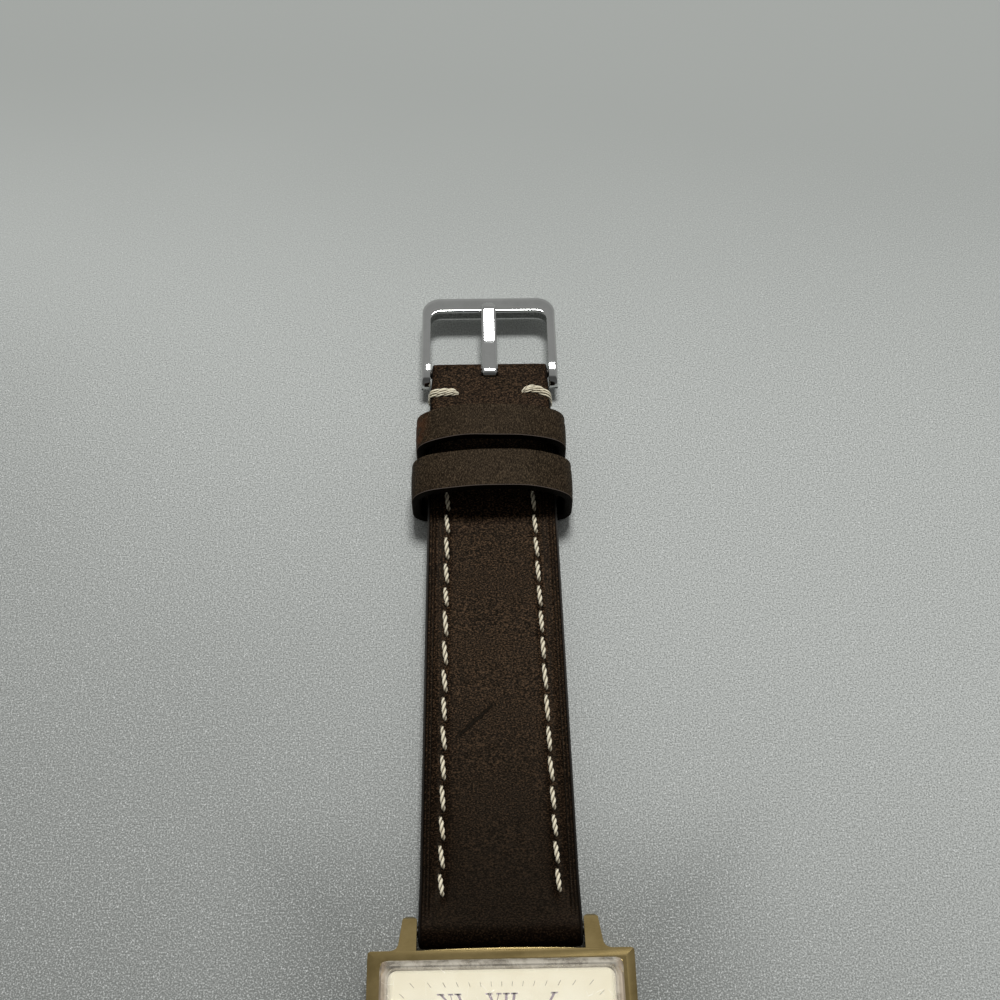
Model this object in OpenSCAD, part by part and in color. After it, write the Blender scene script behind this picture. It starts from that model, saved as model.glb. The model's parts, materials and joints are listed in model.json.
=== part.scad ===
// Square dress watch with a hand-wound movement, on a two-piece leather strap with a pin buckle.
// Millimetres. The watch lies on its back: +Z up through the dial, +Y to twelve o'clock and the
// buckle, +X to the crown. The origin is the middle of the case back's flat outer face.

/* [Case] */
// Width and length of the square case, without the lugs
case_w = 28.3; // [28:0.1:31]
// Height of the outer edge of the bezel above the case back's face
edge_z = 4.8; // [4.7:0.1:5.4]
// Width of the broad outer facet of the bezel
facet_w = 0.95; // [0.7:0.05:1.1]
// Slope of the outer facet and of the lugs' tops, in degrees
facet_slope = 17; // [12:1:20]
// Width of the steep inner facet of the bezel
lip_w = 0.5; // [0.3:0.05:0.6]
// Rise of the steep inner facet
lip_rise = 0.42; // [0.3:0.05:0.6]
// Radius of the case's outer corners
case_corner = 0.4; // [0.2:0.1:1]
// How far the ends of the case bow out between the lugs
end_bow = 0.2; // [0.1:0.05:0.3]
// Thickness of the case wall round the movement
case_wall = 1.9; // [1.7:0.05:1.9]
// Thickness of the case back's plate
back_t = 0.7; // [0.6:0.05:0.9]
// How far the case back's plate lies inside the edge of the case
back_inset = 1; // [0.8:0.1:1.1]
// Height of the snap wall inside the case back
snap_h = 0.9; // [0.7:0.1:1.1]
// Thickness of the snap wall
snap_t = 0.5; // [0.4:0.05:0.6]
// Height of the gasket in its rebate
gasket_h = 0.3; // [0.2:0.05:0.4]
// Width of the gasket
gasket_w = 0.35; // [0.25:0.05:0.45]

/* [Lugs and spring bars] */
// Strap width between the lugs
lug_gap = 18; // [17.5:0.5:18.5]
// Width of a lug where it leaves the case
lug_w = 1.9; // [1.7:0.1:2.2]
// How much the outer side of a lug tapers to its tip
lug_taper = 0.35; // [0.1:0.05:0.5]
// Length of a lug beyond the case
lug_len = 3.95; // [3.8:0.05:4.4]
// Distance from the case's end to the spring bar's axis
bar_reach = 2.4; // [2.35:0.05:2.6]
// Height of the lug bars' axis
bar_z = 3.1; // [3:0.05:3.2]
// Radius of a spring bar's tube
bar_r = 0.75; // [0.6:0.05:0.75]
// Radius of a spring bar's end pins
bar_pin_r = 0.4; // [0.3:0.05:0.45]
// Depth that an end pin enters its hole
bar_pin_depth = 0.8; // [0.6:0.1:1]

/* [Crystal and dial] */
// Wall thickness of the crystal's skirt
crystal_wall = 0.75; // [0.6:0.05:0.85]
// Height of the crystal above the bezel's inner edge
crystal_rise = 1.9; // [1.8:0.1:2.4]
// Thickness of the crystal's top
crystal_top_t = 0.85; // [0.7:0.05:0.95]
// Width of the bevel round the crystal's top
crystal_bevel = 0.7; // [0.4:0.1:0.9]
// Radius of the crystal's corners
crystal_corner = 1; // [0.7:0.1:1.3]
// Depth of the crystal's skirt below the bezel's inner edge
crystal_seat = 1.1; // [1:0.05:1.2]
// Thickness of the dial
dial_t = 0.4; // [0.3:0.05:0.5]
// Radius of the hole in the dial for the hands
dial_hole_r = 1; // [0.9:0.05:1.2]
// Length of the minute hand from the centre to its tip
minute_hand_len = 9.4; // [8:0.1:10]
// Length of the hour hand from the centre to its tip
hour_hand_len = 6.3; // [5:0.1:7]
// Thickness of the hands
hand_t = 0.12; // [0.1:0.01:0.15]

/* [Crown and stem] */
// Height of the winding stem's axis
stem_z = 3; // [2.95:0.05:3.05]
// Radius of the crown
crown_r = 1.8; // [1.5:0.1:2]
// Length of the crown
crown_len = 2.05; // [1.8:0.05:2.5]
// Number of flutes round the crown
crown_flutes = 30; // [20:1:40]
// Travel of the crown from winding to hand setting
crown_travel = 0.9; // [0.7:0.05:0.95]
// Radius of the stem
stem_r = 0.45; // [0.4:0.01:0.5]
// Outer radius of the crown tube
tube_r = 0.75; // [0.65:0.05:0.85]

/* [Movement] */
// Radius of the movement
plate_r = 10.15; // [10:0.05:10.2]
// Height of the movement's underside above the case back's face
bridge_z = 0.95; // [0.9:0.01:1]
// Thickness of the bridges
bridge_t = 1.1; // [1.05:0.01:1.15]
// Height of the main plate's underside
plate_z = 3.1; // [3.05:0.01:3.15]
// Thickness of the main plate
plate_t = 1.8; // [1.75:0.01:1.85]
// Teeth of the barrel
barrel_teeth = 84; // [80:2:84]
// Teeth of the centre wheel
centre_teeth = 80; // [76:2:80]
// Teeth of the third wheel
third_teeth = 75; // [72:1:75]
// Teeth of the fourth wheel
fourth_teeth = 70; // [68:1:70]
// Radius of the escape wheel
escape_r = 1.8; // [1.7:0.05:1.85]
// Radius of the balance wheel
balance_r = 3.5; // [3.2:0.05:3.55]
// Teeth of the ratchet wheel on the barrel arbor
ratchet_teeth = 30; // [28:1:30]
// Teeth of the crown wheel
crown_wheel_teeth = 21; // [20:1:22]
// Teeth of the winding pinion
winding_teeth = 13; // [12:1:13]

/* [Strap] */
// Strap width at the lugs
strap_w = 17.7; // [17:0.1:17.7]
// Strap width where the taper ends
strap_end_w = 16.1; // [15.6:0.1:16.3]
// Width of the strap's loop between the buckle's arms
loop_w = 15.56; // [14.5:0.01:15.6]
// Thickness of the strap at the lugs
strap_t = 3.6; // [3.4:0.1:3.7]
// Thickness of the strap past the padding
strap_thin_t = 2.65; // [2.6:0.05:2.9]
// Thickness of the lining leather
lining_t = 0.6; // [0.5:0.05:0.8]
// Thickness of the strap's edges
strap_edge_t = 1.9; // [1.6:0.1:2.2]
// Length of the padded part from the lug bar
padding_len = 42; // [35:1:50]
// Length of the buckle half from the lug bar to the buckle bar
buckle_half_len = 75; // [70:0.5:80]
// Length of the tail half from the lug bar to its tip
tail_half_len = 115; // [108:1:122]
// Length of the pointed tip
tip_len = 9; // [6:0.5:12]
// Number of buckle holes
hole_count = 7; // [5:1:8]
// Distance between the buckle holes
hole_pitch = 6.5; // [6:0.1:7]
// Distance from the tip to the first buckle hole
hole_start = 26; // [24:0.5:30]
// Radius of a buckle hole
hole_r = 0.95; // [0.8:0.05:1.1]
// Leather thickness of the keepers
keeper_t = 1.25; // [1:0.05:1.4]
// Outer width of the loose keeper
loose_keeper_w = 20.6; // [20.2:0.1:21.5]
// Height of the loose keeper
loose_keeper_h = 9; // [8.4:0.1:10]
// Length of the loose keeper along the strap
loose_keeper_len = 5.5; // [4.5:0.1:6]
// Outer width of the fixed keeper
fixed_keeper_w = 19.6; // [19.3:0.1:20.5]
// Height of the fixed keeper
fixed_keeper_h = 8.6; // [8:0.1:9.4]
// Length of the fixed keeper along the strap
fixed_keeper_len = 4.9; // [4:0.1:5.5]
// Distance from the buckle bar to the middle of the fixed keeper
fixed_keeper_back = 11.5; // [10.5:0.1:13]
// Gap between the two keepers at rest
keeper_gap = 2.4; // [1:0.1:4]
// Distance between neighbouring stitches
stitch_pitch = 3.48; // [3:0.02:4]
// Length of a stitch
stitch_len = 2.3; // [1.8:0.1:2.6]
// Distance of the stitches from the strap's edge
stitch_margin = 2.5; // [2.2:0.1:3]

/* [Buckle] */
// Distance from the buckle bar's axis to the outer end of the frame
buckle_len = 12.7; // [12:0.1:14]
// Height of the buckle bar's axis
buckle_bar_z = 2.65; // [2.6:0.01:2.7]
// Thickness of the frame's arms across the strap
arm_w = 1.2; // [1:0.05:1.5]
// Gap between the strap and an arm
arm_gap = 0.25; // [0.2:0.05:0.4]
// Width of the frame's far bar along the strap
far_bar_w = 2.7; // [2.3:0.1:3]
// Height of the frame's sides
frame_h = 2; // [1.8:0.1:2.2]
// Radius of the frame's outer corners
frame_corner = 2.5; // [1.3:0.1:2.8]
// Width of the tongue
tongue_w = 2; // [1.6:0.1:2.2]
// Thickness of the tongue
tongue_t = 0.85; // [0.7:0.05:1]

/* [Hidden] */
$fn = 48;

// Clearances
fit = 0.01;
slip = 0.05;
play = 0.1;
cut = 0.5;

// Colours
gold = [0.72, 0.6, 0.33];
brass = [0.82, 0.7, 0.4];
steel = [0.78, 0.78, 0.78];
nickel = [0.72, 0.71, 0.68];
brown = [0.2, 0.14, 0.1];
olive_brown = [0.32, 0.25, 0.18];
cream = [0.93, 0.9, 0.8];
ruby = [0.75, 0.15, 0.3];

// Case heights and widths
bezel_w = facet_w + lip_w;
lug_drop = tan(facet_slope);
ridge_z = edge_z + facet_w * lug_drop;
lip_z = ridge_z + lip_rise;
ledge_z = lip_z - crystal_seat;
base_half = case_w / 2 - back_inset;
cavity_w = case_w - 2 * case_wall;
cavity_corner = 1.4;
crystal_w = case_w - 2 * bezel_w;
crystal_z = lip_z + crystal_rise;
crystal_hole_w = crystal_w - 2 * crystal_wall;
base_flank = 0.9;
lug_root_z = 1;
lug_tip_r = 0.35;
lug_fillet = 0.9;
lug_base_z = 2.2;
back_chamfer = 0.4;
snap_w = cavity_w - 2 * slip;
opener_w = 3;
opener_d = 0.5;
opener_h = 0.3;

// Dial and movement heights
plate_top = plate_z + plate_t;
dial_z = plate_top;
dial_top = dial_z + dial_t;
dial_w = crystal_hole_w - 2 * slip;
dial_corner = crystal_corner;
dial_foot_r = 0.35;
dial_foot_len = 0.7;
dial_foot_ring = 9.2;
dial_foot_angles = [140, 320];
works_z = plate_top - 0.65;
works_t = 0.16;
bridge_top = bridge_z + bridge_t;
wheel_t = 0.15;
holder_bore = plate_r + slip;
plate_ledge = 0.3;

// Train: tooth modules, centre distances and positions
barrel_module = 0.1;
centre_module = 0.09;
third_module = 0.09;
fourth_module = 0.08;
winding_module = 0.2;
motion_module = 0.085;
centre_pinion_teeth = 12;
third_pinion_teeth = 10;
fourth_pinion_teeth = 10;
escape_pinion_teeth = 7;
escape_teeth = 15;
cannon_teeth = 12;
minute_teeth = 36;
minute_pinion_teeth = 10;
hour_teeth = 40;
setting_teeth = 34;
function pitch_r(module_size, teeth) = module_size * teeth / 2;
function polar(radius, angle) = [radius * cos(angle), radius * sin(angle)];
// Turn of wheel B, in teeth, that puts its gaps on the teeth of wheel A; the angle points from A to B
function mesh(teeth_a, teeth_b, angle, shift_a = 0) =
    0.5 + angle * teeth_a / 360 + (angle + 180) * teeth_b / 360 - shift_a;
barrel_angle = 59.6;
third_angle = 187;
fourth_angle = 252;
escape_angle = -25;
minute_angle = -50;
setting_angle = 22;
barrel_at = polar(pitch_r(barrel_module, barrel_teeth + centre_pinion_teeth), barrel_angle);
third_at = polar(pitch_r(centre_module, centre_teeth + third_pinion_teeth), third_angle);
fourth_at = third_at + polar(pitch_r(third_module, third_teeth + fourth_pinion_teeth), fourth_angle);
escape_at = fourth_at + polar(pitch_r(fourth_module, fourth_teeth + escape_pinion_teeth), escape_angle);
pallet_reach = escape_r / cos(30);
pallet_angle = -8;
pallet_spread = 71;
pallet_w = 0.18;
pallet_at = escape_at + polar(pallet_reach, pallet_angle);
fork_to_balance = 2.55;
balance_angle = 3;
balance_at = pallet_at + polar(fork_to_balance, balance_angle);
minute_reach = pitch_r(motion_module, cannon_teeth + minute_teeth);
minute_at = polar(minute_reach, minute_angle);
hour_module = 2 * minute_reach / (minute_pinion_teeth + hour_teeth);
minute_shift = mesh(cannon_teeth, minute_teeth, minute_angle);
setting_at = minute_at + polar(pitch_r(motion_module, minute_teeth + setting_teeth), setting_angle);
winding_reach = pitch_r(winding_module, ratchet_teeth + crown_wheel_teeth);
crown_wheel_x = barrel_at[0] + sqrt(winding_reach * winding_reach - barrel_at[1] * barrel_at[1]);
crown_wheel_at = [crown_wheel_x, 0];
crown_wheel_r = pitch_r(winding_module, crown_wheel_teeth);
ratchet_r = pitch_r(winding_module, ratchet_teeth);
crown_wheel_angle = -acos((crown_wheel_x - barrel_at[0]) / winding_reach);

// Levels of the train, from the bridges up to the plate
centre_wheel_z = bridge_top + 0.1;
barrel_z = centre_wheel_z + wheel_t + 0.15;
barrel_h = 1.5;
barrel_r = pitch_r(barrel_module, barrel_teeth);
drum_r = barrel_r - 0.3;
drum_wall = 0.25;
escape_wheel_z = bridge_top + 0.42;
third_wheel_z = bridge_top + 0.7;
fourth_wheel_z = plate_z + 0.12;
barrel_sink_z = barrel_z + barrel_h + slip;
fourth_sink_z = plate_z + 0.4;
sink_gap = 0.25;
pivot_r = 0.08;
arbor_r = 0.16;
jewel_r = 0.42;
jewel_t = 0.35;
plate_jewel_z = fourth_sink_z + 0.1;
bridge_jewel_z = bridge_z + 0.35;
pallet_bridge_z = bridge_top + 0.05;
pallet_bridge_t = 0.25;
cock_t = 0.4;
hairspring_z = bridge_z + cock_t + slip;
balance_z = hairspring_z + 0.22;
balance_t = 0.25;

// Barrel arbor and centre arbor
hub_r = 0.6;
hook_r = 0.9;
arbor_top_r = 0.3;
barrel_square_w = 0.8;
centre_r = 0.3;
slim_centre_r = 0.22;
barrel_floor = 0.2;
centre_pinion_h = 0.5;

// Winding work
winding_z = bridge_z + 0.08;
winding_t = 0.45;
winding_sink = winding_t + 0.16;
pinion_x = crown_wheel_x + crown_wheel_r - 0.15;
pinion_len = 0.8;
core_r = 0.9;
pinion_r = pitch_r(winding_module, winding_teeth);
slot_end = pinion_x + pinion_len + play;
clutch_len = 1.4;
clutch_module = 0.13;
clutch_teeth = 14;
clutch_top = pitch_r(clutch_module, clutch_teeth) + 0.8 * clutch_module;
clutch_end = 0.5;
clutch_x = pinion_x - slip - clutch_len;
clutch_travel = 0.6 * crown_travel;
square_w = 0.6;
stem_inner_x = clutch_x - 1.15;
groove_x = 8.9;
groove_w = 0.6;
groove_r = 0.28;
lever_post_r = 0.19;
lever_post_y = 0.56;
lever_pivot = [groove_x + crown_travel / 2, 2.6];
yoke_groove_x = clutch_x + clutch_len / 2;
yoke_pivot = [yoke_groove_x - clutch_travel / 2, 3.1];
yoke_tab = 0.2;
lever_z = works_z + slip;
setting_z = stem_z + clutch_top + slip;
core_top = stem_z - clutch_top - 2 * play;
setting_floor_z = setting_z - slip;
setting_sink_r = pitch_r(motion_module, setting_teeth) + sink_gap;
lever_t = 0.22;
crown_gap = 0.1;
crown_x = case_w / 2 + crown_gap;
crown_recess = 0.95;
flute_d = 0.12;
tube_out = 0.65;
click_at = barrel_at + polar(ratchet_r + 1.2, 152);

// Hands
hour_hand_z = dial_top + 0.35;
minute_hand_z = hour_hand_z + hand_t + 0.22;
cannon_r = 0.4;
cannon_top = minute_hand_z + hand_t + slip;
hour_pipe_r = 0.68;
minute_hand_angle = 60;
hour_hand_angle = 305;

// Bridges: outlines, feet and screws
bridge_edge = plate_r - plate_ledge - slip;
balance_clear = balance_r + 0.35;
foot_r = 0.75;
screw_head_r = 0.5;
screw_head_t = 0.3;
screw_r = 0.28;
screw_end_z = plate_z + 0.55;
barrel_feet = [[8.1, 2.7], [-2.2, 8.5], [7.6, -2.35]];
train_feet = [[-8.3, 2.5], [-8.8, -1.6], [-3.2, -8.3]];
cock_foot = [balance_at[0] + balance_r + 1.15, balance_at[1] + 0.3];
pallet_feet = [[-0.9, -4.1], [0.2, -7.9]];
pallet_foot_r = 0.32;
pallet_jewel_r = 0.32;
small_head_r = 0.28;
small_head_t = 0.12;
small_screw_r = 0.15;
slot_w = 0.12;

// Strap
bar_y = case_w / 2 + bar_reach;
strap_z = keeper_t + slip;
roll_r = bar_z - strap_z;
buckle_y = bar_y + buckle_half_len;
loop_r = buckle_bar_z - strap_z;
tail_tilt = asin((bar_z - roll_r) / (tail_half_len - 3));
tongue_slot_w = tongue_w + 2 * 0.3;
tongue_slot_len = loop_r + slip;
fold_len = 3.6;
loop_neck = 5;
crown_drop = strap_t - strap_edge_t;
padding_start = 3;
padding_fade = 8;
buckle_half_taper = (strap_w - strap_end_w) / (buckle_half_len - loop_neck);
tail_taper = (strap_w - strap_end_w) / (tail_half_len - tip_len);
stitch_start = 3;
stitch_w = 0.55;
stitch_h = 0.22;
stitch_count = 15;
tail_stitch_count = 28;
fixed_keeper_y = buckle_y - fixed_keeper_back;
loose_keeper_y = fixed_keeper_y - fixed_keeper_len / 2 - keeper_gap - loose_keeper_len / 2;
keeper_arch = 2.4;
keeper_foot_r = 1.6;

// Buckle
frame_w = loop_w + 2 * (arm_gap + arm_w);
frame_y = buckle_y + buckle_len;
bar_hole_r = bar_pin_r + slip;
arm_end_r = 1.15;
arm_heel = 1.2;
heel_r = 0.75;
frame_z = buckle_bar_z - 0.85;
frame_top = frame_z + frame_h;
tongue_tip_y = frame_y - 1.35;
tongue_z = frame_top + slip;
tongue_kink = 4.5;
arm_bend = 5;

// Spring bars
bar_gap = 0.2;
lug_bar_half = lug_gap / 2 - bar_gap;
buckle_bar_half = frame_w / 2 - arm_w - bar_gap;

// Plan of a rectangle with round corners, centred
module rounded_rect(w, h, r) {
    square([w - 2 * r, h], center = true);
    square([w, h - 2 * r], center = true);
    for (sx = [-1, 1], sy = [-1, 1])
        translate([sx * (w / 2 - r), sy * (h / 2 - r)]) circle(r);
}

// Carries a profile drawn as (x, z) along Y, centred
module along_y(length) {
    rotate([90, 0, 0]) linear_extrude(length, center = true) children();
}

// Carries a profile drawn as (y, z) along X, centred
module along_x(length) {
    rotate([90, 0, 90]) linear_extrude(length, center = true) children();
}

// Puts what follows at a plan position and a height
module put(at, z) {
    translate([at[0], at[1], z]) children();
}

// A cylinder along X from x0 to x1 at the height z
module rod_x(r, x0, x1, y = 0, z = 0) {
    translate([x0, y, z]) rotate([0, 90, 0]) cylinder(r = r, h = x1 - x0);
}

// A stack of round steps [radius, from z, to z] on one vertical axis
module arbor(steps) {
    for (s = steps) translate([0, 0, s[1]]) cylinder(r = s[0], h = s[2] - s[1]);
}

// Outline of a toothed wheel: each tooth is a flat-topped wedge across its pitch circle
module gear_outline(module_size, teeth, shift = 0) {
    r = pitch_r(module_size, teeth);
    tip = r + 0.8 * module_size;
    root = r - 1.1 * module_size;
    step = 360 / teeth;
    polygon([for (i = [0 : teeth - 1]) each [
        polar(root, (i + shift - 0.3) * step), polar(tip, (i + shift - 0.12) * step),
        polar(tip, (i + shift + 0.12) * step), polar(root, (i + shift + 0.3) * step)
    ]]);
}

// A thin wheel with a toothed rim and spokes
module spoked_wheel(module_size, teeth, rim, hub_r, spokes, shift = 0) {
    inner = pitch_r(module_size, teeth) - rim;
    linear_extrude(wheel_t) {
        difference() {
            gear_outline(module_size, teeth, shift);
            circle(inner);
        }
        circle(hub_r);
        for (i = [0 : spokes - 1]) rotate(i * 360 / spokes)
            translate([0, -0.15]) square([inner + 0.02, 0.3]);
    }
}

module pinion(module_size, teeth, h, shift = 0) {
    linear_extrude(h) gear_outline(module_size, teeth, shift);
}

// Case
module bezel_profile() {
    half = case_w / 2;
    polygon([
        [-base_half, back_t], [base_half, back_t], [half, back_t + base_flank],
        [half, edge_z], [half - facet_w, ridge_z], [half - bezel_w, lip_z],
        [bezel_w - half, lip_z], [facet_w - half, ridge_z], [-half, edge_z],
        [-half, back_t + base_flank]
    ]);
}

module lug_outline() {
    inner = lug_gap / 2;
    outer = inner + lug_w;
    tip = case_w / 2 + lug_len;
    inside = case_w / 2 - case_wall / 2;
    polygon(concat(
        [[inner, inside], [inner, tip - lug_tip_r], [inner + lug_tip_r, tip],
         [outer - lug_taper - lug_tip_r, tip], [outer - lug_taper, tip - lug_tip_r]],
        [for (a = [180 : 22.5 : 270])
            [outer + lug_fillet + lug_fillet * cos(a), case_w / 2 + lug_fillet + lug_fillet * sin(a)]],
        [[outer + lug_fillet, inside]]
    ));
}

module lug_side() {
    tip = case_w / 2 + lug_len;
    inside = case_w / 2 - case_wall / 2;
    tip_top = edge_z - lug_len * lug_drop;
    polygon([
        [inside, lug_root_z + back_t], [case_w / 2 + 1, lug_root_z], [tip - 0.8, lug_base_z - 0.6],
        [tip - 0.2, lug_base_z - 0.15], [tip, lug_base_z + 0.3], [tip, tip_top - 0.25],
        [tip - 0.25, tip_top + 0.25 * lug_drop], [inside, edge_z + (case_w / 2 - inside) * lug_drop]
    ]);
}

module lug() {
    intersection() {
        linear_extrude(lip_z) lug_outline();
        along_x(2 * case_w) lug_side();
    }
}

module case_end() {
    half = lug_gap / 2;
    edge = case_w / 2;
    translate([0, 0, back_t + base_flank]) linear_extrude(edge_z - back_t - base_flank - 0.1)
        polygon(concat([[half, edge - cut], [-half, edge - cut]],
            [for (i = [-4 : 4]) [i * half / 4, edge + end_bow * (1 - i * i / 16)]]));
}

module case_body() {
    color(gold) difference() {
        union() {
            intersection() {
                along_y(case_w) bezel_profile();
                along_x(case_w) bezel_profile();
                linear_extrude(lip_z) rounded_rect(case_w, case_w, case_corner);
            }
            for (sx = [0, 1], sy = [0, 1]) mirror([sx, 0, 0]) mirror([0, sy, 0]) lug();
            for (sy = [0, 1]) mirror([0, sy, 0]) case_end();
        }
        translate([0, 0, back_t - cut])
            linear_extrude(ledge_z - back_t + 2 * cut) rounded_rect(cavity_w, cavity_w, cavity_corner);
        translate([0, 0, ledge_z]) linear_extrude(lip_z) rounded_rect(crystal_w, crystal_w, crystal_corner);
        gasket_rebate = cavity_w + 2 * gasket_w;
        translate([0, 0, back_t - cut]) linear_extrude(gasket_h + cut)
            rounded_rect(gasket_rebate, gasket_rebate, cavity_corner + gasket_w);
        rod_x(tube_r, cavity_w / 2 - cut, crown_x + cut, z = stem_z);
        for (sy = [-1, 1]) rod_x(bar_pin_r + slip, -lug_gap / 2 - bar_pin_depth - play,
            lug_gap / 2 + bar_pin_depth + play, sy * bar_y, bar_z);
    }
}

module case_back() {
    half = base_half;
    color(steel) difference() {
        union() {
            intersection() {
                along_y(case_w) back_profile(half);
                along_x(case_w) back_profile(half);
                linear_extrude(back_t) rounded_rect(2 * half, 2 * half, cavity_corner);
            }
            translate([0, 0, back_t]) linear_extrude(snap_h) difference() {
                rounded_rect(snap_w, snap_w, cavity_corner - slip);
                rounded_rect(snap_w - 2 * snap_t, snap_w - 2 * snap_t, cavity_corner - slip - snap_t);
            }
        }
        translate([-opener_w / 2, -half - cut, back_t - opener_h])
            cube([opener_w, cut + opener_d, opener_h + cut]);
    }
}

module back_profile(half) {
    polygon([
        [back_chamfer * 1.5 - half, 0], [half - back_chamfer * 1.5, 0], [half, back_chamfer],
        [half, back_t], [-half, back_t], [-half, back_chamfer]
    ]);
}

module back_gasket() {
    outer = cavity_w + 2 * gasket_w - 2 * fit;
    color([0.12, 0.12, 0.12]) translate([0, 0, back_t]) linear_extrude(gasket_h - fit) difference() {
        rounded_rect(outer, outer, cavity_corner + gasket_w - fit);
        rounded_rect(cavity_w, cavity_w, cavity_corner);
    }
}

module crystal_profile() {
    half = crystal_w / 2 - fit;
    polygon([
        [-half, ledge_z], [half, ledge_z], [half, crystal_z - crystal_bevel],
        [half - crystal_bevel * 0.35, crystal_z - crystal_bevel * 0.35], [half - crystal_bevel, crystal_z],
        [crystal_bevel - half, crystal_z], [crystal_bevel * 0.35 - half, crystal_z - crystal_bevel * 0.35],
        [-half, crystal_z - crystal_bevel]
    ]);
}

module crystal() {
    color([0.92, 0.93, 0.9, 0.3]) difference() {
        intersection() {
            along_y(case_w) crystal_profile();
            along_x(case_w) crystal_profile();
            linear_extrude(crystal_z) rounded_rect(crystal_w - 2 * fit, crystal_w - 2 * fit, crystal_corner);
        }
        translate([0, 0, ledge_z - cut])
            linear_extrude(crystal_z - crystal_top_t - ledge_z + cut)
                rounded_rect(crystal_hole_w, crystal_hole_w, crystal_corner);
    }
}

module crown_tube() {
    color(brass) difference() {
        rod_x(tube_r - fit, cavity_w / 2, case_w / 2 + tube_out, z = stem_z);
        rod_x(stem_r + slip, cavity_w / 2 - cut, crown_x + crown_len, z = stem_z);
    }
}

module dial() {
    color(cream) {
        difference() {
            translate([0, 0, dial_z]) linear_extrude(dial_t) rounded_rect(dial_w, dial_w, dial_corner);
            translate([0, 0, dial_z - cut]) cylinder(r = dial_hole_r, h = dial_t + 2 * cut);
        }
        for (a = dial_foot_angles) rotate(a) translate([dial_foot_ring, 0, dial_z - dial_foot_len])
            cylinder(r = dial_foot_r, h = dial_foot_len);
    }
}

module movement_holder() {
    inside_skirt = crystal_hole_w - 2 * slip;
    inside_snap = snap_w - 2 * snap_t - 2 * slip;
    top_z = ledge_z - slip;
    snap_top = back_t + snap_h + slip;
    color([0.75, 0.75, 0.72]) difference() {
        union() {
            translate([0, 0, back_t]) linear_extrude(snap_top - back_t)
                rounded_rect(inside_snap, inside_snap, cavity_corner - 2 * slip - snap_t);
            translate([0, 0, snap_top]) linear_extrude(top_z - snap_top)
                rounded_rect(cavity_w - 2 * slip, cavity_w - 2 * slip, cavity_corner - slip);
            translate([0, 0, top_z]) linear_extrude(dial_z - top_z)
                rounded_rect(inside_skirt, inside_skirt, dial_corner);
        }
        translate([0, 0, plate_z]) cylinder(r = holder_bore, h = plate_t + cut);
        cylinder(r = plate_r - plate_ledge, h = dial_z);
        rod_x(tube_r + slip, 0, cavity_w, z = stem_z);
        translate([plate_r / 2, -tube_r - slip, 0]) cube([plate_r, 2 * (tube_r + slip), stem_z]);
    }
}

// Movement: fixed plates
module plate_jewel_seat(at) {
    put(at, plate_z - cut) cylinder(r = jewel_r, h = plate_jewel_z + jewel_t - plate_z + cut);
    put(at, plate_z) cylinder(r = jewel_r / 2, h = works_z - plate_z + cut);
}

module bridge_jewel_seat(at, floor_z, ceiling_z) {
    put(at, floor_z - cut) cylinder(r = jewel_r, h = bridge_jewel_z + jewel_t - floor_z + cut);
    put(at, floor_z) cylinder(r = jewel_r / 2, h = ceiling_z - floor_z + cut);
}

module screw_hole(at, floor_z, ceiling_z) {
    put(at, floor_z - cut) cylinder(r = screw_r + fit, h = ceiling_z - floor_z + 2 * cut);
    put(at, floor_z - cut) cylinder(r = screw_head_r + slip, h = screw_head_t + slip + cut);
}

module main_plate() {
    color(nickel) difference() {
        translate([0, 0, plate_z]) cylinder(r = plate_r, h = plate_t, $fn = 96);
        // barrel and train, cut from the bridge side
        put(barrel_at, plate_z - cut)
            cylinder(r = barrel_r + 0.2, h = barrel_sink_z - plate_z + cut);
        translate([0, 0, plate_z - cut]) cylinder(r = 0.8, h = barrel_sink_z - plate_z + cut);
        put(fourth_at, plate_z - cut)
            cylinder(r = pitch_r(fourth_module, fourth_teeth) + 0.2, h = fourth_sink_z - plate_z + cut);
        put(escape_at, plate_z - cut) cylinder(r = 0.5, h = fourth_sink_z - plate_z + cut);
        for (p = [third_at, fourth_at, escape_at, pallet_at, balance_at]) plate_jewel_seat(p);
        translate([0, 0, plate_z]) cylinder(r = centre_r + slip, h = plate_t + cut);
        put(barrel_at, plate_z) cylinder(r = arbor_top_r + slip, h = works_z - plate_z + cut);
        // motion work and keyless work, cut from the dial side
        translate([0, 0, works_z]) linear_extrude(plate_t) {
            circle(pitch_r(hour_module, hour_teeth) + 0.3);
            translate(minute_at) circle(pitch_r(motion_module, minute_teeth) + sink_gap);
            translate(setting_at) circle(setting_sink_r);
            polygon([[setting_at[0] - 1, -clutch_len], [plate_r + cut, -clutch_len],
                [plate_r + cut, clutch_len], [lever_pivot[0] + 0.55, lever_pivot[1] + 0.8],
                [yoke_pivot[0] - 0.7, yoke_pivot[1] + 0.9], [setting_at[0] - 1, 1.2]]);
        }
        put(setting_at, setting_floor_z)
            cylinder(r = setting_sink_r, h = plate_t);
        translate([clutch_x - clutch_travel - play, -pinion_r - sink_gap, plate_z - cut])
            cube([slot_end - clutch_x + clutch_travel + play, 2 * (pinion_r + sink_gap), plate_t + cut]);
        rod_x(stem_r + 0.12, 3.6, plate_r + cut, z = stem_z);
        translate([groove_x - 0.5, 0, plate_z - cut]) cube([crown_travel + 1, 1.2, plate_t + cut]);
        for (p = concat(barrel_feet, train_feet, [cock_foot]))
            put(p, plate_z - cut) cylinder(r = screw_r + fit, h = screw_end_z - plate_z + cut);
        for (p = pallet_feet)
            put(p, plate_z - cut) cylinder(r = small_screw_r + fit, h = screw_end_z - plate_z + cut);
        for (a = dial_foot_angles) rotate(a) translate([dial_foot_ring, 0, plate_top - dial_foot_len - play])
            cylinder(r = dial_foot_r + slip, h = dial_foot_len + cut);
    }
}

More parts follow.
